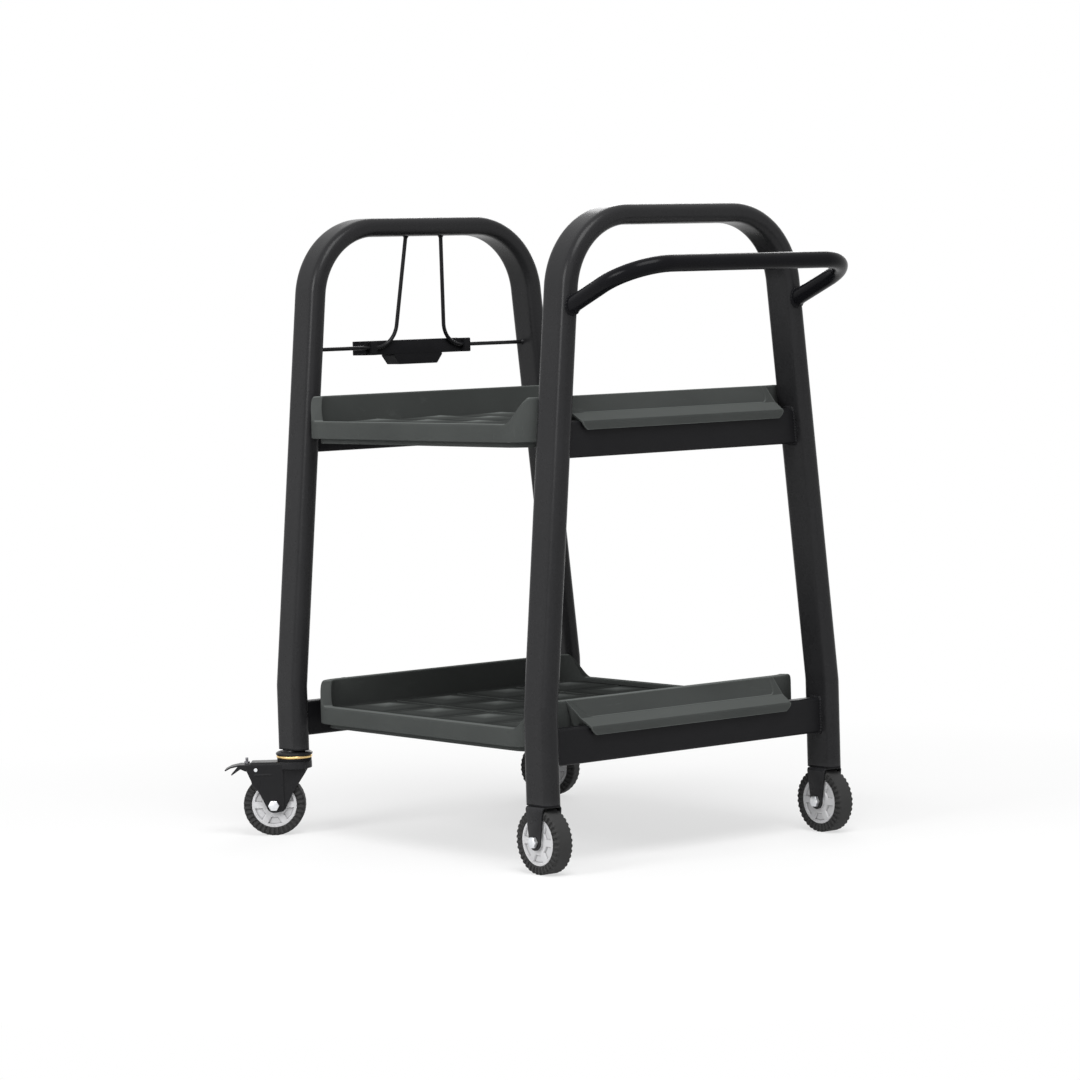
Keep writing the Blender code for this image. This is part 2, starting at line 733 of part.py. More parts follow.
def holder_ledge(parent):
    """The channel that a clipboard stands in, with its keel and the clips round the wires."""
    drop = CART_HEIGHT - TUBE_THICK - SEAT_GAP - WIRE_LEVEL
    wire_y = HALF_SPREAD - WIRE_TOP_SET_BACK + drop * WIRE_LEAN_SLOPE
    back = wire_y + WIRE_RADIUS + SEAT_GAP
    front = back + LEDGE_DEEP
    top = WIRE_LEVEL + LEDGE_ABOVE_WIRE
    base = top - LEDGE_TALL
    sheet = LEDGE_SHEET
    outline = [
        (back, base), (front, base), (front, top), (front - sheet, top), (front - sheet, base + sheet),
        (back + sheet, base + sheet), (back + sheet, top), (back, top)]
    half = LEDGE_WIDTH / 2
    ledge = prism("holder_ledge", outline, -half, half, "X", parent)
    keel = [
        (-LEDGE_KEEL_TOP / 2, base + sheet / 2), (LEDGE_KEEL_TOP / 2, base + sheet / 2),
        (LEDGE_KEEL_BASE / 2, base - LEDGE_KEEL_TALL), (-LEDGE_KEEL_BASE / 2, base - LEDGE_KEEL_TALL)]
    pieces = [prism("keel", keel, back, front, "Y", parent)]
    block_z = (base, base + 2 * (WIRE_LEVEL - base))
    for side in (-1, 1):
        centre = side * (half - CLIP_WIDTH)
        low = (centre - CLIP_WIDTH / 2, wire_y - WIRE_RADIUS - SEAT_GAP - CLIP_WALL, block_z[0])
        high = (centre + CLIP_WIDTH / 2, back + sheet / 2, top)
        pieces.append(box("clip", low, high, parent))
    combine(ledge, pieces, "UNION")
    tunnel = [(wire_y + a, WIRE_LEVEL + b) for a, b in round_ring(WIRE_RADIUS + SEAT_GAP, 12)]
    combine(ledge, [prism("tunnel", tunnel, -half - 0.01, half + 0.01, "X", parent)], "DIFFERENCE")
    return finish(ledge, "black_plastic")


def leg_plug(name, place, base, bore, parent):
    """A plastic plug with a flange, bored for a castor's stem."""
    hub = empty(name + "_place", (place[0], place[1], 0.0), parent)
    flange = rounded_rectangle(TUBE_THICK, TUBE_DEEP, TUBE_CORNER)
    inside = TUBE_WALL + SEAT_GAP
    body = rounded_rectangle(
        TUBE_THICK - 2 * inside, TUBE_DEEP - 2 * inside, TUBE_CORNER - inside, 1)
    plug = prism(name, flange, base, base + PLUG_FLANGE, "Z", hub)
    core = prism("core", body, base + PLUG_FLANGE / 2, base + PLUG_FLANGE + PLUG_DEPTH, "Z", hub)
    combine(plug, [core], "UNION")
    if bore > 0:
        hole = prism("hole", round_ring(bore / 2, 12), base - 0.01, base + PLUG_DEPTH + 0.02, "Z", hub)
        combine(plug, [hole], "DIFFERENCE")
    return finish(plug, "black_plastic")


def wheel(prefix, axis_place, fork_gap, parent):
    """A tyre, a core with pockets and a bush on a wheel axis; the axle lies along local Y."""
    hub = empty(prefix + "_wheel_axis", axis_place, parent)
    rim = RIM_DIAMETER / 2
    half = TYRE_WIDTH / 2
    shoulder = TYRE_SHOULDER
    tread = [
        (rim + SEAT_GAP, -CORE_WIDTH / 2), (rim + shoulder, -half), (WHEEL_RADIUS - shoulder, -half),
        (WHEEL_RADIUS, -half + shoulder), (WHEEL_RADIUS, half - shoulder), (WHEEL_RADIUS - shoulder, half),
        (rim + shoulder, half), (rim + SEAT_GAP, CORE_WIDTH / 2)]
    tyre = turned(prefix + "_tyre", tread, WHEEL_STEPS, "Y", hub)
    finish(tyre, "rubber")
    bore = BUSH_DIAMETER / 2 + RUN_GAP
    hub_half = HUB_WIDTH / 2
    core_half = CORE_WIDTH / 2
    profile = [
        (bore, -hub_half), (HUB_DIAMETER / 2, -hub_half), (HUB_DIAMETER / 2 + 0.0010, -core_half),
        (rim, -core_half), (rim, core_half), (HUB_DIAMETER / 2 + 0.0010, core_half),
        (HUB_DIAMETER / 2, hub_half), (bore, hub_half)]
    core = turned(prefix + "_wheel_core", profile, WHEEL_STEPS - 8, "Y", hub)
    combine(core, wheel_pockets(hub), "DIFFERENCE")
    finish(core, "grey_plastic")
    bush_half = fork_gap / 2 - SEAT_GAP
    hole = BOLT_DIAMETER / 2 + SEAT_GAP
    ring = [
        (hole, -bush_half), (BUSH_DIAMETER / 2, -bush_half), (BUSH_DIAMETER / 2, bush_half),
        (hole, bush_half)]
    bush = turned(prefix + "_axle_bush", ring, ROUND_STEPS, "Y", parent)
    bush.location = axis_place
    finish(bush, "zinc")


def wheel_pockets(hub):
    """Cutters for the D-shaped pockets on both faces of a wheel core."""
    cutters = []
    land = POCKET_LAND
    inner = HUB_DIAMETER / 2 + land
    outer = RIM_DIAMETER / 2 - land
    spread = math.radians(20.0)
    outline = [(inner, -land), (outer * math.cos(spread), -outer * math.sin(spread))]
    outline += [(outer, 0.0), (outer * math.cos(spread), outer * math.sin(spread)), (inner, land)]
    for i in range(POCKET_COUNT):
        angle = math.radians(30.0) + 2 * math.pi * i / POCKET_COUNT
        turned_outline = [
            (a * math.cos(angle) - b * math.sin(angle), a * math.sin(angle) + b * math.cos(angle))
            for a, b in outline]
        for side in (-1, 1):
            near = side * (CORE_WIDTH / 2 - POCKET_DEPTH)
            far = side * (CORE_WIDTH / 2 + 0.005)
            cutters.append(prism("pocket", turned_outline, min(near, far), max(near, far), "Y", hub))
    return cutters


def axle(prefix, axis_place, fork_half, head_side, parent):
    """A hexagon bolt through the fork and its nut; the head is on one side of the local Y axis."""
    face = fork_half + SEAT_GAP
    hexagon = round_ring(BOLT_HEAD / 2 / math.cos(math.pi / 6), 6, math.pi / 6)

    def barrel(name, outline, start, end):
        low, high = sorted((head_side * start, head_side * end))
        return prism(name, outline, low, high, "Y", parent)

    bolt = barrel(prefix + "_axle_bolt", hexagon, face, face + BOLT_HEAD_HEIGHT)
    tail = face + NUT_HEIGHT + 0.0020
    rod = barrel("rod", round_ring(BOLT_DIAMETER / 2), face + BOLT_HEAD_HEIGHT / 2, -tail)
    combine(bolt, [rod], "UNION")
    bolt.location = axis_place
    finish(bolt, "zinc")
    nut = barrel(prefix + "_axle_nut", hexagon, -face, -face - NUT_HEIGHT)
    hole = round_ring(BOLT_DIAMETER / 2 + SEAT_GAP)
    combine(nut, [barrel("hole", hole, -face + 0.01, -face - NUT_HEIGHT - 0.01)], "DIFFERENCE")
    nut.location = axis_place
    finish(nut, "zinc")


def axle_holes(axis_place, reach, parent):
    """A cutter for the holes that the axle bolt goes through."""
    outline = [
        (axis_place[0] + a, axis_place[2] + b) for a, b in round_ring(BOLT_DIAMETER / 2 + SEAT_GAP)]
    return prism("axle_hole", outline, -reach, reach, "Y", parent)


def fixed_castor(prefix, side, parent):
    """A castor whose fork is fastened under a rear leg."""
    frame = empty(
        prefix + "_castor", (side * LEG_SPREAD / 2, -HALF_SPREAD, 0.0), parent, math.radians(-90.0))
    gap = TYRE_WIDTH + 2 * RUN_GAP
    half = gap / 2 + FORK_SHEET
    crown_base = WHEEL_DIAMETER + CROWN_GAP
    top = crown_base + CROWN_THICK
    top_half = FORK_TOP_LENGTH / 2
    outline = [(top_half, top), (-top_half, top)]
    for i in range(9):
        angle = math.pi * 1.06 + math.pi * 0.88 * i / 8
        outline.append((
            FORK_FOOT_RADIUS * math.cos(angle), WHEEL_RADIUS + FORK_FOOT_RADIUS * math.sin(angle)))
    fork = prism(prefix + "_fork", outline, -half, half, "Y", frame)
    space = box(
        "space", (-0.1, -gap / 2, -0.01), (0.1, gap / 2, crown_base), frame)
    combine(fork, [space, axle_holes((0.0, 0.0, WHEEL_RADIUS), half + 0.01, frame)], "DIFFERENCE")
    finish(fork, "fork_steel")
    centre = (0.0, 0.0, WHEEL_RADIUS)
    wheel(prefix, centre, gap, frame)
    axle(prefix, centre, half, -1, frame)


def swivel_fork_outline():
    """Side view of the swivel fork's plate, as (trail, height) points."""
    top = SWIVEL_CROWN_HEIGHT
    size = WHEEL_DIAMETER
    heel = [(0.745, 1.135), (0.765, 1.060), (0.700, 0.910), (0.680, 0.830), (0.580, 0.725), (0.525, 0.612)]
    toe = [(0.230, 0.385), (0.165, 0.420), (0.118, 0.514), (0.020, 0.711)]
    toe += [(-0.062, 0.834), (-0.144, 0.956), (-0.200, 1.050)]
    points = [(-0.200 * size, top), (0.690 * size, top)]
    points += [(trail * size, height * size) for trail, height in heel]
    for i in range(5):
        angle = math.radians(-15.0 - 75.0 * i / 4)
        reach = SWIVEL_FOOT_RADIUS
        points.append((TRAIL + reach * math.cos(angle), WHEEL_RADIUS + reach * math.sin(angle)))
    return points + [(trail * size, height * size) for trail, height in toe]


def swivel_fork(prefix, parent):
    """A pressed fork: a cupped crown, two stepped side plates and the brake's housing between them."""
    top = SWIVEL_CROWN_HEIGHT
    sheet = SWIVEL_SHEET
    inner = SWIVEL_FORK_GAP / 2
    outer = inner + sheet
    outline = swivel_fork_outline()
    fork = prism(prefix + "_fork", outline, -outer, outer, "Y", parent)
    below = top - sheet
    step = FORK_STEP
    far = 0.2
    at = FORK_STEP_AT
    cutters = [
        box("space", (at, -inner, -0.01), (far, inner, below), parent),
        box("space", (-far, -inner + step, -0.01), (at + 0.001, inner - step, below), parent),
        box("step", (-far, outer - step, -0.01), (at, outer + 0.01, below - 0.010), parent),
        box("step", (-far, -outer - 0.01, -0.01), (at, -outer + step, below - 0.010), parent),
    ]
    combine(fork, cutters, "DIFFERENCE")
    cup = turned(
        "cup", [
            (CUP_DIAMETER / 2 - sheet, top - CUP_TALL), (CUP_DIAMETER / 2, top - CUP_TALL),
            (CUP_DIAMETER / 2, top), (CUP_BORE / 2, top), (CUP_BORE / 2, below),
            (CUP_DIAMETER / 2 - sheet, below)], RING_STEPS, "Z", parent)
    trim = box(
        "trim", (0.0, -inner, -0.01), (far, inner, below), parent)
    combine(cup, [trim], "DIFFERENCE")
    combine(fork, [cup], "UNION")
    bore_ring = round_ring(STEM_DIAMETER / 2 + SPIN_GAP, RING_STEPS)
    bore = prism("bore", bore_ring, top - CUP_TALL - 0.02, top + 0.01, "Z", parent)
    pin = [(PIN_TRAIL + a, PIN_HEIGHT + b) for a, b in round_ring(PIN_DIAMETER / 2 + SEAT_GAP, 12)]
    holes = [
        bore, axle_holes((TRAIL, 0.0, WHEEL_RADIUS), outer + 0.01, parent),
        prism("pin_hole", pin, -outer - 0.01, outer + 0.01, "Y", parent)]
    for side in (-1, 1):
        low, high = sorted((side * (outer - GROOVE_DEPTH), side * (outer + 0.005)))
        groove = (0.360 * WHEEL_DIAMETER, low, 0.995 * WHEEL_DIAMETER)
        holes.append(box("groove", groove, (0.640 * WHEEL_DIAMETER, high, 1.010 * WHEEL_DIAMETER), parent))
    combine(fork, holes, "DIFFERENCE")
    return finish(fork, "fork_steel")


def brake_pedal(prefix, parent):
    """The two-pronged pedal on its pin, with the lobe that presses on the tyre, and its screw."""
    hub = empty(prefix + "_brake_axis", (PIN_TRAIL, 0.0, PIN_HEIGHT), parent)
    shares = [
        (-0.100, 0.045), (-0.040, 0.078), (0.185, 0.078), (0.270, 0.082), (0.420, 0.052),
        (0.515, 0.003), (0.503, -0.016), (0.412, 0.030), (0.300, 0.052), (0.412, -0.073),
        (0.400, -0.087), (0.255, 0.010), (0.190, -0.020), (0.090, -0.050), (0.050, -0.135),
        (0.010, -0.145), (-0.030, -0.090), (-0.090, -0.025)]
    outline = [(WHEEL_DIAMETER * a, WHEEL_DIAMETER * b) for a, b in shares]
    pedal = prism(prefix + "_brake_pedal", outline, -PEDAL_WIDTH / 2, PEDAL_WIDTH / 2, "Y", hub)
    hole = round_ring(PIN_DIAMETER / 2 + SEAT_GAP, 12)
    combine(pedal, [prism("hole", hole, -0.05, 0.05, "Y", hub)], "DIFFERENCE")
    finish(pedal, "fork_steel")
    half = SWIVEL_FORK_GAP / 2 + SWIVEL_SHEET + 0.0012
    pin = prism(prefix + "_pedal_pin", round_ring(PIN_DIAMETER / 2, 12), -half, half, "Y", parent)
    pin.location = (PIN_TRAIL, 0.0, PIN_HEIGHT)
    finish(pin, "zinc")
    screw = turned(
        prefix + "_adjusting_screw", [
            (SCREW_NUT / 2, 0.0), (SCREW_NUT / 2, SCREW_NUT_HEIGHT), (SCREW_DIAMETER / 2, SCREW_NUT_HEIGHT),
            (SCREW_DIAMETER / 2, SCREW_HEIGHT)], 12, "Z", hub, False)
    screw.location = (SCREW_REACH, 0.0, 0.0078 + 2 * SEAT_GAP)
    finish(screw, "zinc")


def swivel_castor(prefix, side, turn, parent):
    """A castor that turns about its stem under a front leg, with a brake."""
    place = (side * LEG_SPREAD / 2, HALF_SPREAD, 0.0)
    fixed = empty(prefix + "_stem_place", place, parent)
    stem = turned(
        prefix + "_stem", [
            (STEM_DIAMETER / 2, SWIVEL_CROWN_HEIGHT - SWIVEL_SHEET - 0.0040),
            (STEM_DIAMETER / 2, CAP_BASE), (CAP_DIAMETER / 2 - 0.0010, CAP_BASE),
            (CAP_DIAMETER / 2, CAP_BASE + 0.0040),
            (CAP_DIAMETER / 2 - 0.0040, NECK_BASE), (NECK_DIAMETER / 2, NECK_BASE),
            (NECK_DIAMETER / 2, NECK_BASE + NECK_HEIGHT), (STEM_DIAMETER / 2, NECK_BASE + NECK_HEIGHT),
            (STEM_DIAMETER / 2, NECK_BASE + STEM_LENGTH)], RING_STEPS, "Z", fixed, False)
    finish(stem, "fork_steel")
    hole = STEM_DIAMETER / 2 + SEAT_GAP
    race_radius = RACE_DIAMETER / 2
    race = turned(
        prefix + "_swivel_race", [
            (hole, RACE_BASE), (race_radius, RACE_BASE), (race_radius, RACE_BASE + RACE_HEIGHT),
            (hole, RACE_BASE + RACE_HEIGHT)], RING_STEPS, "Z", fixed)
    finish(race, "yellow_zinc")
    frame = empty(prefix + "_swivel_axis", place, parent, turn)
    seal_hole = STEM_DIAMETER / 2 + SPIN_GAP
    seal_base = SWIVEL_CROWN_HEIGHT + SEAT_GAP
    seal = turned(
        prefix + "_seal_ring", [
            (seal_hole, seal_base), (SEAL_DIAMETER / 2, seal_base), (SEAL_DIAMETER / 2, SEAL_TOP),
            (seal_hole, SEAL_TOP)], RING_STEPS, "Z", frame)
    finish(seal, "black_plastic")
    swivel_fork(prefix, frame)
    centre = (TRAIL, 0.0, WHEEL_RADIUS)
    wheel(prefix, centre, SWIVEL_FORK_GAP, frame)
    axle(prefix, centre, SWIVEL_FORK_GAP / 2 + SWIVEL_SHEET, 1, frame)
    brake_pedal(prefix, frame)


def stand_at_origin(root):
    """Move the whole cart so that the origin is on the floor under the middle of its box."""
    bpy.context.view_layer.update()
    corners = []
    for item in bpy.data.objects:
        if item.type == "MESH":
            corners += [item.matrix_world @ vertex.co for vertex in item.data.vertices]
    for axis in (0, 1):
        values = [corner[axis] for corner in corners]
        root.location[axis] -= (min(values) + max(values)) / 2
    bpy.context.view_layer.update()


def build_cart():
    """Make every piece of the cart."""
    clear_scene()
    root = empty("cart", (0.0, 0.0, 0.0))
    rear = -HALF_SPREAD
    front = HALF_SPREAD
    finish(arch_body("rear_arch", REAR_PLUG_BASE + PLUG_FLANGE + SEAT_GAP, rear, root), "powder_coat")
    finish(arch_body("front_arch", FRONT_PLUG_BASE + PLUG_FLANGE + SEAT_GAP, front, root), "powder_coat")
    for end, place in (("rear", rear), ("front", front)):
        crossbar(end + "_lower_crossbar", LOWER_BAR_BASE, place, root)
        crossbar(end + "_upper_crossbar", LOWER_BAR_BASE + LEVEL_STEP, place, root)
    push_handle(root)
    tray("lower_tray", root)
    upper = tray("upper_tray", root)
    upper.location.z = LEVEL_STEP
    holder_wire("holder_wire_left", -1, root)
    holder_wire("holder_wire_right", 1, root)
    holder_ledge(root)
    for name, side, turn in (("left", -1, LEFT_SWIVEL_TURN), ("right", 1, RIGHT_SWIVEL_TURN)):
        leg_x = side * LEG_SPREAD / 2
        leg_plug("rear_" + name + "_leg_plug", (leg_x, rear), REAR_PLUG_BASE, 0.0, root)
        leg_plug(
            "front_" + name + "_leg_plug", (leg_x, front), FRONT_PLUG_BASE,
            STEM_DIAMETER + 2 * SEAT_GAP, root)
        fixed_castor("rear_" + name, side, root)
        swivel_castor("front_" + name, side, turn, root)
    stand_at_origin(root)


build_cart()
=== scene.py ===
"""Looks of a storage cart: two steel arches, two moulded trays, a push handle and four castors.

Every size is in metres. Shapes are worked out in the cart's own frame, whose origin is on the floor
under the middle of the four legs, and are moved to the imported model's frame as they become meshes.
Rear is the push handle's side (-Y), front is +Y, left is -X and right is +X.
"""
import logging
import math
from dataclasses import dataclass
from enum import Enum
from typing import Iterable, Sequence

import bmesh
import bpy
import numpy as np
from mathutils import Matrix, Vector


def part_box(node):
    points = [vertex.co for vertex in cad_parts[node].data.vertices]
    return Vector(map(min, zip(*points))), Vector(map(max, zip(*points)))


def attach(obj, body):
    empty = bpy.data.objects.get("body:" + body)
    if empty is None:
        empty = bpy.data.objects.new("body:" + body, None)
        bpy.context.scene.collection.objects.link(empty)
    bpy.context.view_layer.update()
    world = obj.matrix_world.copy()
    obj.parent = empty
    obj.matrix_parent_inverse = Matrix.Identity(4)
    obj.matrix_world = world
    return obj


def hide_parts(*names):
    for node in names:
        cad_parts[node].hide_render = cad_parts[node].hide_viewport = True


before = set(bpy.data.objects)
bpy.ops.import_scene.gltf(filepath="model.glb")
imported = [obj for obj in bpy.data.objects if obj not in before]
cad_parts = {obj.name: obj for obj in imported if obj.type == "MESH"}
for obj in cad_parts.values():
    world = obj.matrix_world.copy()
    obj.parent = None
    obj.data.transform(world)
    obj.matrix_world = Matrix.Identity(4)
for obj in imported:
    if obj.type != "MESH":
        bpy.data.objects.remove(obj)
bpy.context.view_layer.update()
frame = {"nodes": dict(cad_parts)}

Array = np.ndarray
Triple = tuple[float, float, float]
Colour = Triple
Socket = bpy.types.NodeSocket
LOG = logging.getLogger("storage_cart")

# Sizes that several pieces share
SEAT_GAP = 0.0003
CART_HEIGHT = 0.9974
HALF_SPREAD = 0.32265
LEG_SPREAD = 0.5734
KNEE_HEIGHT = 0.2428
LEG_LEAN = math.radians(5.65)
TUBE_THICK = 0.0300
TUBE_DEEP = 0.0600
TUBE_CORNER = 0.0124
TUBE_WALL = 0.0020
LEVEL_STEP = 0.4600
LOWER_BAR_BASE = 0.1600
BAR_TALL = 0.0560
BAR_THICK = 0.0220
TRAY_FLOOR = 0.2055
WHEEL_RADIUS = 0.0500
TYRE_WIDTH = 0.0317

# Mesh settings that all pieces share
MERGE = 0.000002
SHARP_ANGLE = math.radians(32.0)
BEVEL_ANGLE = math.radians(38.0)
BEVEL_STEPS = 3
BEAD_RIPPLE = 0.13


# ---------------------------------------------------------------- shapes as arrays


def unit(vectors: Array) -> Array:
    """Vectors divided by their own length."""
    return vectors / np.linalg.norm(vectors, axis=-1, keepdims=True)


def ease(value: Array) -> Array:
    """A smooth step: 0 below 0, 1 above 1, and 3v^2 - 2v^3 between them."""
    share = np.clip(value, 0.0, 1.0)
    return share * share * (3.0 - 2.0 * share)


def leg_offset(height: Array | float) -> Array | float:
    """Distance of a leg's centre line from the cart's middle: constant below the knee, less above it."""
    return LEG_SPREAD / 2 - np.maximum(0.0, height - KNEE_HEIGHT) * math.tan(LEG_LEAN)


def leg_inner(height: Array | float) -> Array | float:
    """Distance of a leg's inner face from the cart's middle, half a tube nearer than its centre line."""
    lean = np.where(np.asarray(height) > KNEE_HEIGHT, LEG_LEAN, 0.0)
    return leg_offset(height) - TUBE_THICK / 2 / np.cos(lean)


def rounded_path(corners: Sequence[Sequence[float]], radii: Sequence[float], steps: int = 12) -> Array:
    """Straight runs joined by round bends.

    Each inner corner becomes the arc that touches both of its runs: the arc's points are its centre
    plus the first arm times cos t plus the first run's direction times the radius times sin t.

    Args:
        corners: the points where the straight runs meet, ends included.
        radii: one bend radius for each inner corner.
        steps: spans of each arc.

    Returns:
        The points of the path, one row each.
    """
    corner = np.asarray(corners, float)
    parts = [corner[:1]]
    for before, here, after, radius in zip(corner[:-2], corner[1:-1], corner[2:], radii):
        come, leave = unit(here - before), unit(after - here)
        turn = math.acos(float(np.clip(come @ leave, -1.0, 1.0)))
        if radius <= 0.0 or turn < 1e-4:
            parts.append(here[None])
            continue
        centre = here + unit(leave - come) * radius / math.cos(turn / 2)
        arm = here - come * radius * math.tan(turn / 2) - centre
        share = np.linspace(0.0, turn, steps + 1)[:, None]
        parts.append(centre + arm * np.cos(share) + come * radius * np.sin(share))
    parts.append(corner[-1:])
    return np.concatenate(parts)


def rounded_outline(corners: Sequence[Sequence[float]], radius: float, steps: int = 4) -> Array:
    """A closed outline whose corners are all bends of one radius: the open path through them all.

    Args:
        corners: the outline's corners, one row each.
        radius: the radius of every bend.
        steps: spans of each bend.

    Returns:
        The points of the outline, one row each.
    """
    corner = np.asarray(corners, float)
    loop = np.concatenate([corner[-1:], corner, corner[:1]])
    return rounded_path(loop, [radius] * len(corner), steps)[1:-1]


def rounded_rectangle(width: float, depth: float, corner: float, steps: int = 8) -> Array:
    """A rectangle with round corners: four quarter circles about its inset corners, anticlockwise.

    Args:
        width: its size along the first axis.
        depth: its size along the second axis.
        corner: the radius of its corners.
        steps: spans of each corner.

    Returns:
        The points of the outline, one row each.
    """
    quarter = np.repeat(np.arange(4), steps + 1)
    angle = (quarter + np.tile(np.linspace(0.0, 1.0, steps + 1), 4)) * np.pi / 2
    side_x = np.array([1, -1, -1, 1])[quarter]
    side_y = np.array([1, 1, -1, -1])[quarter]
    across = side_x * (width / 2 - corner) + corner * np.cos(angle)
    return np.stack([across, side_y * (depth / 2 - corner) + corner * np.sin(angle)], 1)


def circle(radius: float, steps: int) -> Array:
    """Points of a circle: its radius times the cosine and the sine of even angles."""
    angle = np.linspace(0.0, 2 * np.pi, steps, endpoint=False)
    return radius * np.stack([np.cos(angle), np.sin(angle)], 1)


def resample(line: Array, count: int, closed: bool = False) -> Array:
    """Points at even distances along a line, each between the line's own points by its share of length.

    Args:
        line: the line's points, one row each.
        count: how many points to return.
        closed: whether the line runs back to its first point.

    Returns:
        The new points, one row each.
    """
    points = np.concatenate([line, line[:1]]) if closed else line
    length = np.concatenate([[0.0], np.cumsum(np.linalg.norm(np.diff(points, axis=0), axis=1))])
    at = np.linspace(0.0, length[-1], count, endpoint=not closed)
    return np.stack([np.interp(at, length, points[:, i]) for i in range(points.shape[1])], 1)


def refine(line: Array, spacing: float, closed: bool = False) -> Array:
    """The line with its own points kept and even ones between them, no further apart than a spacing.

    Args:
        line: the line's points, one row each.
        spacing: the greatest distance between two points.
        closed: whether the line runs back to its first point.

    Returns:
        The filled line, one row for each point.
    """
    points = np.concatenate([line, line[:1]]) if closed else line
    spans = np.linalg.norm(np.diff(points, axis=0), axis=1)
    counts = np.maximum(1, np.ceil(spans / spacing).astype(int))
    owner = np.repeat(np.arange(len(spans)), counts)
    start = np.concatenate([[0], np.cumsum(counts)[:-1]])
    share = (np.arange(counts.sum()) - start[owner]) / counts[owner]
    filled = points[owner] + (points[owner + 1] - points[owner]) * share[:, None]
    return filled if closed else np.concatenate([filled, points[-1:]])


def outline_normals(outline: Array) -> Array:
    """Outward directions of a closed anticlockwise outline: each point's tangent turned a quarter right."""
    tangent = unit(np.roll(outline, -1, axis=0) - np.roll(outline, 1, axis=0))
    return np.stack([tangent[:, 1], -tangent[:, 0]], 1)


def tangents(line: Array) -> Array:
    """Directions along an open line: the mean of the runs before and after each point."""
    runs = unit(np.diff(line, axis=0))
    return unit(np.concatenate([runs[:1], runs[:-1] + runs[1:], runs[-1:]]))


def line_normals(line: Array) -> Array:
    """Directions to the left of an open flat line: its tangents turned a quarter left."""
    tangent = tangents(line)
    return np.stack([-tangent[:, 1], tangent[:, 0]], 1)


def sweep(path: Array, side: Sequence[float], section: Array) -> Array:
    """Rings of a section carried along a flat path.

    Each ring is the path's point plus the section's first value times the path's in-plane normal,
    plus its second value times the side direction.

    Args:
        path: the points of the centre line.
        side: the direction square to the path's plane.
        section: the section's points, one set for all rings or one set for each.

    Returns:
        The grid of points, ring by ring.
    """
    across = np.asarray(side, float)
    normal = unit(np.cross(tangents(path), across))
    shape = np.broadcast_to(section, (len(path), *section.shape[-2:]))
    return path[:, None] + normal[:, None] * shape[..., :1] + across * shape[..., 1:]


def bead_section() -> tuple[Array, Array]:
    """A weld bead's quarter-round section: shares of its size out from one face and up from the other."""
    turn = np.linspace(0.0, np.pi / 2, 6)
    return np.concatenate([[-0.3], np.cos(turn)]), np.concatenate([[-0.3], np.sin(turn)])


class Axis(Enum):
    """The direction that an outline is drawn out or turned along."""

    X = 0
    Y = 1
    Z = 2

    def place(self, first: Array, second: Array, along: Array) -> Array:
        """Points from two values across the axis and one along it.

        Args:
            first: the value on the first of the other two axes.
            second: the value on the second of them.
            along: the value on this axis.

        Returns:
            The points, with X, Y and Z last.
        """
        values = [first, second]
        values.insert(self.value, along)
        return np.stack(np.broadcast_arrays(*values), -1)


def spin(profile: Array, steps: int, axis: Axis = Axis.Z) -> Array:
    """A profile of (radius, along) points turned once round an axis, with a row of points per angle."""
    angle = np.linspace(0.0, 2 * np.pi, steps, endpoint=False)[:, None]
    return axis.place(profile[:, 0] * np.cos(angle), profile[:, 0] * np.sin(angle), profile[:, 1])


class End(Enum):
    """The cart's ends along Y, by the word in their pieces' names."""

    REAR = "rear"
    FRONT = "front"

    @property
    def sign(self) -> int:
        """-1 at the rear and 1 at the front."""
        return -1 if self is End.REAR else 1


class Side(Enum):
    """The cart's sides along X, by the word in their pieces' names."""

    LEFT = "left"
    RIGHT = "right"

    @property
    def sign(self) -> int:
        """-1 on the left and 1 on the right."""
        return -1 if self is Side.LEFT else 1


class Level(Enum):
    """The cart's levels, by the word in their pieces' names."""

    LOWER = "lower"
    UPPER = "upper"

    @property
    def lift(self) -> float:
        """How far the level stands above the lower one."""
        return LEVEL_STEP if self is Level.UPPER else 0.0


@dataclass(frozen=True)
class Place:
    """Where a form stands in the cart's frame: a shift, and a turn about the vertical."""

    x: float = 0.0
    y: float = 0.0
    z: float = 0.0
    turn: float = 0.0

    def apply(self, points: Array) -> Array:
        """Points turned by the angle and shifted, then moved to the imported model's frame.

        Args:
            points: points in the form's own frame, one row each.

        Returns:
            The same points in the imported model's frame.
        """
        cos, sin = math.cos(self.turn), math.sin(self.turn)
        across = points[:, 0] * cos - points[:, 1] * sin + self.x + MIDDLE.x
        along = points[:, 0] * sin + points[:, 1] * cos + self.y + MIDDLE.y
        return np.stack([across, along, points[:, 2] + self.z], 1)


def leg_place(end: End, side: Side, turn: float = 0.0) -> Place:
    """The floor under a leg's foot, with a turn about the vertical."""
    return Place(side.sign * LEG_SPREAD / 2, end.sign * HALF_SPREAD, 0.0, turn)


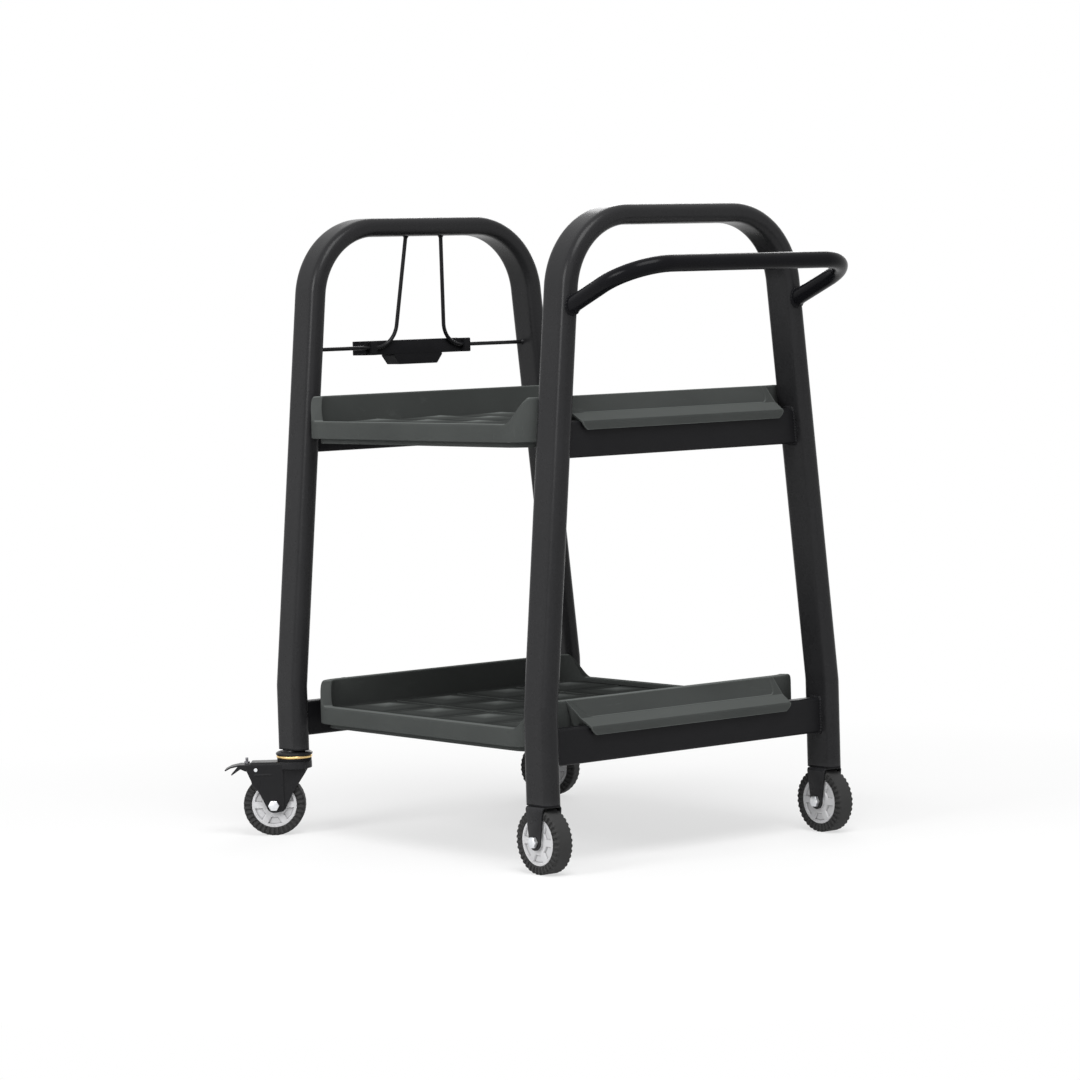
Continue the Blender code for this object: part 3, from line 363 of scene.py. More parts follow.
class Form:
    """Closed shells as grids of points, which become one mesh."""

    def __init__(self) -> None:
        """Start with no shell."""
        self.points: list[Array] = []
        self.faces: list[list[int]] = []
        self.count = 0

    def grid(self, points: Array, wrap_rows: bool = False, wrap_cols: bool = False) -> "Form":
        """Add a skin whose faces join each grid point to the next in its row and its column.

        Args:
            points: the skin's points, as rows and columns of X, Y, Z.
            wrap_rows: whether the last row joins the first.
            wrap_cols: whether the last column joins the first.

        Returns:
            The form itself.
        """
        rows, cols = points.shape[:2]
        row = np.arange(rows if wrap_rows else rows - 1)[:, None]
        col = np.arange(cols if wrap_cols else cols - 1)[None]
        below, beside = (row + 1) % rows, (col + 1) % cols
        quads = np.stack(np.broadcast_arrays(
            row * cols + col, row * cols + beside, below * cols + beside, below * cols + col), -1)
        self.faces += (quads.reshape(-1, 4) + self.count).tolist()
        self.points.append(points.reshape(-1, 3))
        self.count += rows * cols
        return self

    def cap(self, ring: Array) -> "Form":
        """Add one flat face over a ring.

        Args:
            ring: the points round the face, in order.

        Returns:
            The form itself.
        """
        self.faces.append(list(range(self.count, self.count + len(ring))))
        self.points.append(ring)
        self.count += len(ring)
        return self

    def tube(self, rings: Array) -> "Form":
        """Add a body through closed rings, with a flat face at each end."""
        return self.grid(rings, wrap_cols=True).cap(rings[0]).cap(rings[-1])

    def slab(self, upper: Array, lower: Array) -> "Form":
        """Add a body between two grids of the same size, with strips round its four borders.

        Args:
            upper: the grid of one side.
            lower: the grid of the other side.

        Returns:
            The form itself.
        """
        self.grid(upper).grid(lower)
        for cut in (np.s_[0], np.s_[-1], np.s_[:, 0], np.s_[:, -1]):
            self.grid(np.stack([upper[cut], lower[cut]]))
        return self

    def prism(self, outline: Array, low: float, high: float, axis: Axis = Axis.Z) -> "Form":
        """Add an outline drawn out along an axis between two levels."""
        along = np.array([low, high])[:, None]
        return self.tube(axis.place(outline[None, :, 0], outline[None, :, 1], along))

    def block(self, low: Sequence[float], high: Sequence[float]) -> "Form":
        """Add a block between its lowest and highest corners."""
        outline = np.array([(low[0], low[1]), (high[0], low[1]), (high[0], high[1]), (low[0], high[1])])
        return self.prism(outline, low[2], high[2])

    def turned(self, profile: Array, steps: int, axis: Axis = Axis.Z, bored: bool = True) -> "Form":
        """Add a profile of (radius, along) points turned once round an axis.

        Args:
            profile: closed round a bore, or an open line that starts and ends on the axis.
            steps: spans round the axis.
            axis: the axis that it turns about.
            bored: whether the profile is closed.

        Returns:
            The form itself.
        """
        return self.grid(spin(profile, steps, axis), wrap_rows=True, wrap_cols=bored)

    def shifted(self, x: float = 0.0, y: float = 0.0, z: float = 0.0) -> "Form":
        """Move all that is there so far."""
        self.points = [points + np.array([x, y, z]) for points in self.points]
        return self

    def add(self, other: "Form") -> "Form":
        """Take over another form's shells.

        Args:
            other: the form whose shells are taken.

        Returns:
            The form itself.
        """
        self.points += other.points
        self.faces += [[index + self.count for index in face] for face in other.faces]
        self.count += other.count
        return self

    def build(self, name: str, place: Place) -> bpy.types.Object:
        """Make the mesh: merge the seams, turn the faces outwards and smooth all but sharp edges.

        Args:
            name: the piece's name.
            place: where the form stands.

        Returns:
            The new object, which sits at the origin.
        """
        mesh = bpy.data.meshes.new(name)
        mesh.from_pydata(place.apply(np.concatenate(self.points)).tolist(), [], self.faces)
        work = bmesh.new()
        work.from_mesh(mesh)
        bmesh.ops.remove_doubles(work, verts=work.verts, dist=MERGE)
        bmesh.ops.dissolve_degenerate(work, edges=work.edges, dist=MERGE / 2)
        bmesh.ops.recalc_face_normals(work, faces=work.faces)
        work.to_mesh(mesh)
        work.free()
        mesh.shade_smooth()
        mesh.set_sharp_from_angle(angle=SHARP_ANGLE)
        item = bpy.data.objects.new(name, mesh)
        bpy.context.scene.collection.objects.link(item)
        return item


# ---------------------------------------------------------------- finishes


class Graph:
    """A tree of shader nodes, and the steps that build one."""

    def __init__(self, tree: bpy.types.NodeTree) -> None:
        """Work on a tree that is there."""
        self.tree = tree

    def node(self, kind: str, **settings: object) -> bpy.types.Node:
        """Add a node of a kind with its settings.

        Args:
            kind: the node's type name.
            **settings: its properties by name.

        Returns:
            The new node.
        """
        item = self.tree.nodes.new(kind)
        for key, value in settings.items():
            setattr(item, key, value)
        return item

    def link(self, source: Socket, target: Socket) -> None:
        """Join an output to an input."""
        self.tree.links.new(source, target)

    def math(self, operation: str, *values: Socket | float) -> Socket:
        """One step of arithmetic.

        Args:
            operation: the name of the operation.
            *values: its inputs in order, sockets or numbers.

        Returns:
            The result.
        """
        item = self.node("ShaderNodeMath", operation=operation)
        for target, value in zip(item.inputs, values):
            if isinstance(value, float):
                target.default_value = value
            else:
                self.link(value, target)
        return item.outputs[0]

    def spread(self, source: Socket, low: float, high: float, to_low: float = 0.0,
               to_high: float = 1.0) -> Socket:
        """A value whose range from low to high becomes the range that is asked for, with its ends held.

        Args:
            source: the value.
            low: where its range starts.
            high: where its range ends.
            to_low: the result at the start.
            to_high: the result at the end.

        Returns:
            The result.
        """
        item = self.node("ShaderNodeMapRange", clamp=True)
        for key, value in (("From Min", low), ("From Max", high), ("To Min", to_low), ("To Max", to_high)):
            item.inputs[key].default_value = value
        self.link(source, item.inputs["Value"])
        return item.outputs["Result"]

    def shown(self) -> Socket:
        """1 for rays of the camera, of reflections and of glass, and 0 for the rays that light the cart.

        Returns:
            The share, 0 or 1.
        """
        path = self.node("ShaderNodeLightPath")
        result = path.outputs["Is Camera Ray"]
        for ray in ("Is Glossy Ray", "Is Transmission Ray"):
            result = self.math("MAXIMUM", result, path.outputs[ray])
        return result

    def mix(self, share: Socket, first: bpy.types.Node, second: bpy.types.Node, target: Socket) -> None:
        """Send two shaders to an output, mixed by a share of the second.

        Args:
            share: how much of the second shader shows.
            first: the node of the first shader.
            second: the node of the second shader.
            target: the input that the mixture goes to.
        """
        item = self.node("ShaderNodeMixShader")
        for value, source in enumerate((share, first.outputs[0], second.outputs[0])):
            self.link(source, item.inputs[value])
        self.link(item.outputs[0], target)


class Shade(Graph):
    """A writer of one material's nodes, all of whose patterns read Object coordinates."""

    def __init__(self, name: str, colour: Colour, rough: float, metal: float, shine: float) -> None:
        """Start a material with its plain values on the shader's own sockets.

        Args:
            name: the material's name.
            colour: its colour.
            rough: its roughness.
            metal: 1 for metal and 0 for the rest.
            shine: how strongly it reflects straight on.
        """
        self.material = bpy.data.materials.new(name)
        self.material.use_nodes = True
        super().__init__(self.material.node_tree)
        self.shader = self.tree.nodes["Principled BSDF"]
        for key, value in (("Base Color", (*colour, 1.0)), ("Roughness", rough), ("Metallic", metal),
                           ("Specular IOR Level", shine)):
            self.shader.inputs[key].default_value = value
        self.place = self.node("ShaderNodeTexCoord").outputs["Object"]

    def noise(self, scale: float, detail: float = 3.0, stretch: Triple = (1.0, 1.0, 1.0),
              rough: float = 0.5) -> Socket:
        """A cloudy value from 0 to 1.

        Args:
            scale: clouds in a metre.
            detail: how many finer layers are added.
            stretch: a factor for each axis, more for narrower clouds.
            rough: how strong each finer layer is.

        Returns:
            The value.
        """
        mapping = self.node("ShaderNodeMapping")
        mapping.inputs["Scale"].default_value = stretch
        self.link(self.place, mapping.inputs["Vector"])
        item = self.node("ShaderNodeTexNoise")
        for key, value in (("Scale", scale), ("Detail", detail), ("Roughness", rough)):
            item.inputs[key].default_value = value
        self.link(mapping.outputs["Vector"], item.inputs["Vector"])
        return item.outputs[0]

    def cells(self, scale: float) -> Socket:
        """The distance from the nearest of scattered points, for pits and grains.

        Args:
            scale: points in a metre.

        Returns:
            The distance, as a share of the space between points.
        """
        item = self.node("ShaderNodeTexVoronoi")
        item.inputs["Scale"].default_value = scale
        self.link(self.place, item.inputs["Vector"])
        return item.outputs["Distance"]

    def product(self, first: Socket, second: Socket) -> Socket:
        """Two values multiplied."""
        return self.math("MULTIPLY", first, second)

    def total(self, first: Socket, second: Socket, weight: float) -> Socket:
        """The first value plus the second times a weight."""
        return self.math("MULTIPLY_ADD", second, weight, first)

    def edges(self, low: float, high: float) -> Socket:
        """How much a spot stands proud of its surroundings, from 0 to 1."""
        return self.spread(self.node("ShaderNodeNewGeometry").outputs["Pointiness"], low, high)

    def creases(self, low: float, high: float) -> Socket:
        """How deep a spot lies in a fold of its surroundings, from 0 to 1."""
        return self.spread(self.node("ShaderNodeNewGeometry").outputs["Pointiness"], low, high, 1.0, 0.0)

    def upright(self, vector: Socket) -> Socket:
        """The vertical part of a vector.

        Args:
            vector: a vector's socket.

        Returns:
            Its Z.
        """
        item = self.node("ShaderNodeSeparateXYZ")
        self.link(vector, item.inputs[0])
        return item.outputs["Z"]

    def level(self, step: float) -> Socket:
        """Height above the floor, less as many whole steps as go into it."""
        return self.math("FLOORED_MODULO", self.upright(self.place), step)

    def upward(self, low: float, high: float) -> Socket:
        """How much the surface faces up, from 0 to 1."""
        normal = self.node("ShaderNodeNewGeometry").outputs["Normal"]
        return self.spread(self.upright(normal), low, high)

    def blend(self, share: Socket, low: Colour | Socket, high: Colour) -> Socket:
        """A colour between two others.

        Args:
            share: how much of the second colour shows.
            low: the first colour, plain or a pattern.
            high: the second colour.

        Returns:
            The mixture.
        """
        item = self.node("ShaderNodeMix", data_type="RGBA")
        self.link(share, item.inputs[0])
        if isinstance(low, tuple):
            item.inputs[6].default_value = (*low, 1.0)
        else:
            self.link(low, item.inputs[6])
        item.inputs[7].default_value = (*high, 1.0)
        return item.outputs[2]

    def colour(self, source: Socket) -> None:
        """Use a colour pattern."""
        self.link(source, self.shader.inputs["Base Color"])

    def roughness(self, source: Socket) -> None:
        """Use a roughness pattern."""
        self.link(source, self.shader.inputs["Roughness"])

    def relief(self, source: Socket, strength: float, depth: float) -> None:
        """Use a height pattern for the surface's fine relief.

        Args:
            source: the height pattern.
            strength: how much of it shows.
            depth: the height of a full step.
        """
        item = self.node("ShaderNodeBump")
        item.inputs["Strength"].default_value = strength
        item.inputs["Distance"].default_value = depth
        self.link(source, item.inputs["Height"])
        self.link(item.outputs["Normal"], self.shader.inputs["Normal"])


def scaled(colour: Colour, factor: float) -> Colour:
    """A colour made lighter or darker by a factor."""
    return tuple(min(1.0, part * factor) for part in colour)


@dataclass(frozen=True)
class Finish:
    """What all finishes have: a name, the record's slot, a colour, and how rough, metallic and shiny."""

    name: str
    slot: str
    colour: Colour
    rough: float
    metal: float = 0.0
    shine: float = 0.5

    def material(self) -> bpy.types.Material:
        """The finish's material, made the first time that it is asked for.

        Returns:
            The material.
        """
        found = bpy.data.materials.get(self.name)
        if found is not None:
            return found
        shade = Shade(self.name, self.colour, self.rough, self.metal, self.shine)
        self.dress(shade)
        return shade.material

    def dress(self, shade: Shade) -> None:
        """Add the finish's patterns to its material."""
        raise NotImplementedError


@dataclass(frozen=True)
class PowderCoat(Finish):
    """Baked powder on steel: a fine orange-peel skin, slightly uneven gloss, and pale edges that are partly
    real wear and partly a painted highlight.
    """

    peel: float = 620.0
    depth: float = 0.00009
    # Colour factor and start of the pale edges: partly real wear, partly a painted highlight.
    edge: float = 1.7
    wear_and_highlight_start: float = 0.53

    def dress(self, shade: Shade) -> None:
        """Cloudy colour, speckled gloss, orange peel, and pale edges: partly real wear, partly a painted
        highlight.

        Args:
            shade: the writer of the material's nodes.
        """
        cloud = shade.noise(9.0, 4.0)
        share = shade.spread(cloud, 0.3, 0.7)
        tint = shade.blend(share, scaled(self.colour, 0.95), scaled(self.colour, 1.05))
        patches = shade.spread(shade.noise(60.0, 5.0), 0.25, 0.7)
        # Pale edges in patches: partly real wear, partly a painted highlight.
        worn_and_lit_edges = shade.product(shade.edges(self.wear_and_highlight_start, self.wear_and_highlight_start + 0.09), patches)
        shade.colour(shade.blend(worn_and_lit_edges, tint, scaled(self.colour, self.edge)))
        gloss = shade.noise(38.0, 5.0)
        shade.roughness(shade.spread(gloss, 0.3, 0.7, self.rough - 0.05, self.rough + 0.06))
        peel = shade.total(shade.noise(self.peel, 2.0), shade.noise(self.peel * 3.1, 1.0), 0.35)
        shade.relief(peel, 0.35, self.depth)


@dataclass(frozen=True)
class MouldedPlastic(Finish):
    """Moulded plastic with a spark-eroded texture, flow clouds, fine scuffs, pale edges that are partly
    real wear and partly a painted highlight, and painted shade in its folds.
    """

    grain: float = 900.0
    depth: float = 0.00020
    scuff: float = 0.5
    # Colour factor and start of the pale edges: partly real wear, partly a painted highlight.
    edge: float = 1.9
    wear_and_highlight_start: float = 0.518
    # Colour factor of the painted shade in folds and creases.
    fold: float = 0.25

    def dress(self, shade: Shade) -> None:
        """Flow clouds, scuffs, pale edges (partly real wear, partly a painted highlight) and painted shade
        in folds in the colour, and a grain of fine pits.

        Args:
            shade: the writer of the material's nodes.
        """
        cloud = shade.noise(7.0, 4.0)
        share = shade.spread(cloud, 0.3, 0.7)
        tint = shade.blend(share, scaled(self.colour, 0.92), scaled(self.colour, 1.08))
        streaks = shade.spread(shade.noise(22.0, 6.0, (1.0, 9.0, 2.0), 0.65), 0.60, 0.72)
        scuffs = shade.product(streaks, shade.spread(shade.noise(12.0, 3.0), 0.45, 0.62, 0.0, self.scuff))
        tint = shade.blend(scuffs, tint, scaled(self.colour, 1.45))
        patches = shade.spread(shade.noise(45.0, 5.0), 0.1, 0.6)
        # Pale edges in patches: partly real wear, partly a painted highlight.
        worn_and_lit_edges = shade.product(shade.edges(self.wear_and_highlight_start, self.wear_and_highlight_start + 0.06), patches)
        tint = shade.blend(worn_and_lit_edges, self.painted_form_light(shade, tint), scaled(self.colour, self.edge))
        # Folds and creases made darker: painted shade.
        shade.colour(shade.blend(shade.creases(0.42, 0.495), tint, scaled(self.colour, self.fold)))
        gloss = shade.noise(55.0, 4.0)
        shade.roughness(shade.spread(gloss, 0.3, 0.7, self.rough - 0.06, self.rough + 0.08))
        grain = shade.total(shade.cells(self.grain), shade.noise(self.grain * 1.8, 2.0), 0.6)
        shade.relief(grain, 0.5, self.depth)

    def painted_form_light(self, shade: Shade, tint: Socket) -> Socket:
        """Painted shade and highlight that follow the piece's own forms: none on a plain moulding."""
        return tint


@dataclass(frozen=True)
class TrayPlastic(MouldedPlastic):
    """The trays' plastic: painted shade low between the floor's pads, and a painted highlight on the pads'
    crests and on the rims.
    """

    floor: float = TRAY_FLOOR
    step: float = LEVEL_STEP
    low: float = 0.0040
    high: float = 0.0052
    crest: float = 0.0074
    # Colour factor of the painted shade low between the pads.
    low_shade: float = 0.08
    # Colour factor of the painted highlight on the pads' crests and the rims.
    pale: float = 2.5

    def painted_form_light(self, shade: Shade, tint: Socket) -> Socket:
        """Painted shade where an upward face lies near the floor's level, and a painted highlight where it
        lies well above it.

        Args:
            shade: the writer of the material's nodes.
            tint: the colour so far.

        Returns:
            The colour with its painted shade and highlight.
        """
        height, upward = shade.level(self.step), shade.upward(0.80, 0.96)
        sunk = shade.product(shade.spread(height, self.floor, self.floor + self.low, 1.0, 0.0), upward)
        proud = shade.product(shade.spread(height, self.floor + self.high, self.floor + self.crest), upward)
        # Painted shade on low upward faces, then a painted highlight on high ones.
        tint = shade.blend(sunk, tint, scaled(self.colour, self.low_shade))
        return shade.blend(proud, tint, scaled(self.colour, self.pale))


@dataclass(frozen=True)
class Rubber(Finish):
    """Tyre rubber: dull, dusty in places, with a fine moulded bloom."""

    dust: Colour = (0.050, 0.049, 0.048)

    def dress(self, shade: Shade) -> None:
        """Dust in soft patches and on the ribs' crests, over a fine grain.

        Args:
            shade: the writer of the material's nodes.
        """
        patch = shade.spread(shade.noise(48.0, 5.0, rough=0.6), 0.42, 0.78, 0.0, 0.55)
        tint = shade.blend(patch, self.colour, self.dust)
        shade.colour(shade.blend(shade.edges(0.52, 0.66), tint, scaled(self.dust, 1.15)))
        gloss = shade.noise(90.0, 4.0)
        shade.roughness(shade.spread(gloss, 0.3, 0.7, self.rough - 0.08, self.rough + 0.06))
        shade.relief(shade.total(shade.noise(700.0, 3.0), shade.cells(420.0), 0.3), 0.4, 0.00018)


@dataclass(frozen=True)
class PlatedMetal(Finish):
    """Plated steel: bright, with passivation clouds, tool marks and small dull specks."""

    cloud: Colour = (0.62, 0.64, 0.68)

    def dress(self, shade: Shade) -> None:
        """Clouds of a second colour, fine marks and uneven gloss.

        Args:
            shade: the writer of the material's nodes.
        """
        share = shade.spread(shade.noise(85.0, 4.0, rough=0.6), 0.35, 0.72)
        shade.colour(shade.blend(share, self.colour, self.cloud))
        marks = shade.noise(260.0, 4.0, (1.0, 1.0, 6.0))
        shade.roughness(shade.spread(marks, 0.25, 0.75, self.rough - 0.07, self.rough + 0.12))
        shade.relief(marks, 0.18, 0.00008)


class Finishes:
    """The finishes of the cart's pieces."""

    frame = PowderCoat("powder_coat_charcoal", "powder_coat", (0.017, 0.017, 0.018), 0.28, shine=0.12)
    bar = PowderCoat("powder_coat_crossbar", "powder_coat", (0.009, 0.009, 0.010), 0.46, shine=0.10)
    handle = PowderCoat("powder_coat_handle", "powder_coat", (0.005, 0.005, 0.006), 0.24, shine=0.06)
    wire = PowderCoat("black_wire_coat", "black_wire", (0.010, 0.010, 0.011), 0.30, shine=0.15,
                      peel=1400.0, depth=0.00001, edge=1.0, wear_and_highlight_start=0.85)
    # The fork's strong pale edges are a painted highlight along its ridges and rib, with some real wear.
    fork = PowderCoat("black_dipped_steel", "black_steel", (0.013, 0.013, 0.014), 0.30, shine=0.12,
                      peel=800.0, edge=3.6, wear_and_highlight_start=0.508)
    tray = TrayPlastic("tray_moulding", "tray_plastic", (0.056, 0.060, 0.058), 0.62, shine=0.0)
    plastic = MouldedPlastic("black_moulding", "black_plastic", (0.009, 0.009, 0.010), 0.55, shine=0.06,
                             grain=1300.0, depth=0.0001, edge=1.5)
    core = MouldedPlastic("grey_wheel_moulding", "grey_plastic", (0.53, 0.53, 0.54), 0.46, shine=0.4,
                          grain=1500.0, depth=0.00006, scuff=0.15, edge=1.12)
    tyre = Rubber("tyre_rubber", "tyre_rubber", (0.011, 0.011, 0.012), 0.70, shine=0.10)
    zinc = PlatedMetal("zinc_plate", "zinc", (0.86, 0.87, 0.88), 0.40, 1.0)
    dull = PlatedMetal("dull_zinc_plate", "zinc", (0.30, 0.30, 0.32), 0.34, 1.0, cloud=(0.12, 0.12, 0.13))
    gold = PlatedMetal("yellow_zinc_plate", "yellow_zinc", (0.93, 0.68, 0.28), 0.32, 1.0,
                       cloud=(0.86, 0.60, 0.30))


@dataclass(frozen=True)
class Seat:
    """How a piece joins the cart: the body that it rides on, the nodes that it stands for, its finish."""

    body: str
    finish: Finish
    nodes: tuple[str, ...] = ()
    place: Place = Place()
    bevel: float = 0.0


def fit(form: Form, name: str, seat: Seat) -> bpy.types.Object:
    """Make a piece of a form, round its edges, dress it and join it to its body.

    Args:
        form: the piece's closed shells.
        name: the piece's name.
        seat: its body, finish, nodes, place and edge radius.

    Returns:
        The finished piece.
    """
    item = form.build(name, seat.place)
    item.data.materials.append(seat.finish.material())
    if seat.bevel > 0.0:
        edge = item.modifiers.new("edges", "BEVEL")
        edge.width = seat.bevel
        edge.segments = BEVEL_STEPS
        edge.limit_method = "ANGLE"
        edge.angle_limit = BEVEL_ANGLE
    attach(item, seat.body)
    if seat.nodes:
        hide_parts(*seat.nodes)
    LOG.info("%s: %d faces, on %s", name, len(item.data.polygons), seat.body)
    return item


def keep(nodes: Iterable[str], finish: Finish) -> None:
    """Give CAD nodes whose shape is right a finish of the scene's own.

    Args:
        nodes: the nodes' names.
        finish: the finish that they get.
    """
    for name in nodes:
        frame["nodes"][name].material_slots[0].material = finish.material()
        LOG.info("%s: kept, %s", name, finish.name)


# ---------------------------------------------------------------- frame


@dataclass
class Arch:
    """An inverted U of oval-cornered tube, with the crossbars that tie its legs and their welds."""

    end: End
    foot: float
    bend: float = 0.1189
    knee_bend: float = 0.0600
    ring_step: float = 0.0120
    skin_step: float = 0.0060
    bar_corner: float = 0.0050
    bar_step: float = 0.0045
    bead: float = 0.0030
    bead_wave: float = 0.0046

    @property
    def place(self) -> Place:
        """The floor under the middle of the arch."""
        return Place(y=self.end.sign * HALF_SPREAD)

    def path(self) -> Array:
        """The centre line: up a leg, in above the knee, across the top and down the other leg.

        Returns:
            The points of the line, one row each.
        """
        top = CART_HEIGHT - TUBE_THICK / 2
        half, shoulder = LEG_SPREAD / 2, float(leg_offset(top))
        side = [(half, self.foot), (half, KNEE_HEIGHT), (shoulder, top)]
        corners = [(-x, 0.0, z) for x, z in side] + [(x, 0.0, z) for x, z in reversed(side)]
        return rounded_path(corners, [self.knee_bend, self.bend, self.bend, self.knee_bend], 44)

    def build_tube(self) -> None:
        """Outer skin up the path and inner skin back down it, joined at the two feet."""
        path = refine(self.path(), self.ring_step)
        skins = []
        for wall in (0.0, TUBE_WALL):
            section = rounded_rectangle(TUBE_THICK - 2 * wall, TUBE_DEEP - 2 * wall, TUBE_CORNER - wall, 10)
            skins.append(sweep(path, (0, 1, 0), refine(section, self.skin_step, closed=True)))
        form = Form().grid(np.concatenate([skins[0], skins[1][::-1]]), wrap_rows=True, wrap_cols=True)
        name = self.end.value + "_arch"
        fit(form, name + "_tube", Seat("frame", Finishes.frame, (name,), self.place))

    def build_bar(self, level: Level) -> None:
        """A flat bar whose ends follow the lean of the legs, and the weld beads at both ends.

        Args:
            level: the level of the tray that it carries.
        """
        base = LOWER_BAR_BASE + level.lift
        section = rounded_rectangle(BAR_THICK, BAR_TALL, self.bar_corner)
        section = refine(section, self.bar_step, closed=True)
        height = base + BAR_TALL / 2 + section[:, 1]
        reach = np.linspace(-1.0, 1.0, 61)[:, None] * (leg_inner(height) - SEAT_GAP)
        form = Form().tube(Axis.X.place(section[:, 0], height, reach))
        name = f"{self.end.value}_{level.value}_crossbar"
        fit(form, name + "_bar", Seat("frame", Finishes.bar, (name,), self.place))
        self.build_beads(name, base, resample(section, 144, closed=True))

    def build_beads(self, name: str, base: float, ring: Array) -> None:
        """Rippled fillets where a bar meets the legs: each bead's size is its own plus a sine of length.

        Args:
            name: the bar's name.
            base: the height of the bar's lower side.
            ring: even points round the bar's section.
        """
        beads = Form()
        length = np.linspace(0.0, 2 * (BAR_TALL + BAR_THICK), len(ring), endpoint=False)
        ripple = (self.bead * (1.0 + BEAD_RIPPLE * np.sin(2 * np.pi * length / self.bead_wave)))[:, None]
        out, back = bead_section()
        spot = ring[:, None] + outline_normals(ring)[:, None] * (ripple * out)[..., None]
        height = base + BAR_TALL / 2 + spot[..., 1]
        for side in Side:
            reach = side.sign * (leg_inner(height) - ripple * back)
            beads.grid(Axis.X.place(spot[..., 0], height, reach), wrap_rows=True, wrap_cols=True)
        fit(beads, name + "_welds", Seat("frame", Finishes.bar, (), self.place))

    def build(self) -> None:
        """The tube and both crossbars."""
        self.build_tube()
        for level in Level:
            self.build_bar(level)


@dataclass
class PushHandle:
    """A bent round tube that leaves the rear legs, rises and crosses behind the arch."""

    diameter: float = 0.0254
    foot_height: float = 0.8488
    reach: float = 0.1412
    rise: float = 0.0570
    bend: float = 0.0758
    sink: float = 0.0015
    bead: float = 0.0028
    bead_waves: int = 19

    def build(self) -> None:
        """The tube swept along its path, with a weld bead round each foot."""
        foot_x = float(leg_offset(self.foot_height))
        face = -HALF_SPREAD - TUBE_DEEP / 2
        slope = self.rise / self.reach
        start = (foot_x, face + self.sink, self.foot_height - self.sink * slope)
        corner = (foot_x, face - self.reach, self.foot_height + self.rise)
        corners = [(-start[0], *start[1:]), (-corner[0], *corner[1:]), corner, start]
        path = rounded_path(corners, [self.bend, self.bend], 40)
        side = unit(np.cross(path[1] - path[0], (1.0, 0.0, 0.0)))
        form = Form().tube(sweep(path, side, circle(self.diameter / 2, 48)))
        fit(form, "push_handle_tube", Seat("frame", Finishes.handle, ("push_handle",)))
        self.build_beads(foot_x, face, slope)

    def build_beads(self, foot_x: float, face: float, slope: float) -> None:
        """Rippled fillets round the ellipses in which the tube meets the legs' rear faces.

        Args:
            foot_x: distance of the feet from the cart's middle.
            face: where the legs' rear faces are.
            slope: the tube's rise for its run.
        """
        out, back = bead_section()
        angle = np.linspace(0.0, 2 * np.pi, 96, endpoint=False)
        ripple = (self.bead * (1.0 + BEAD_RIPPLE * np.sin(self.bead_waves * angle)))[:, None]
        radius = self.diameter / 2 + ripple * out
        across = radius * np.cos(angle)[:, None]
        rise = radius * np.sin(angle)[:, None] * math.hypot(1.0, slope)
        depth = ripple * back
        height = self.foot_height + rise + depth * slope
        form = Form()
        for side in Side:
            ring = Axis.Y.place(side.sign * foot_x + across, height, face - depth)
            form.grid(ring, wrap_rows=True, wrap_cols=True)
        fit(form, "push_handle_welds", Seat("frame", Finishes.handle))


# ---------------------------------------------------------------- trays


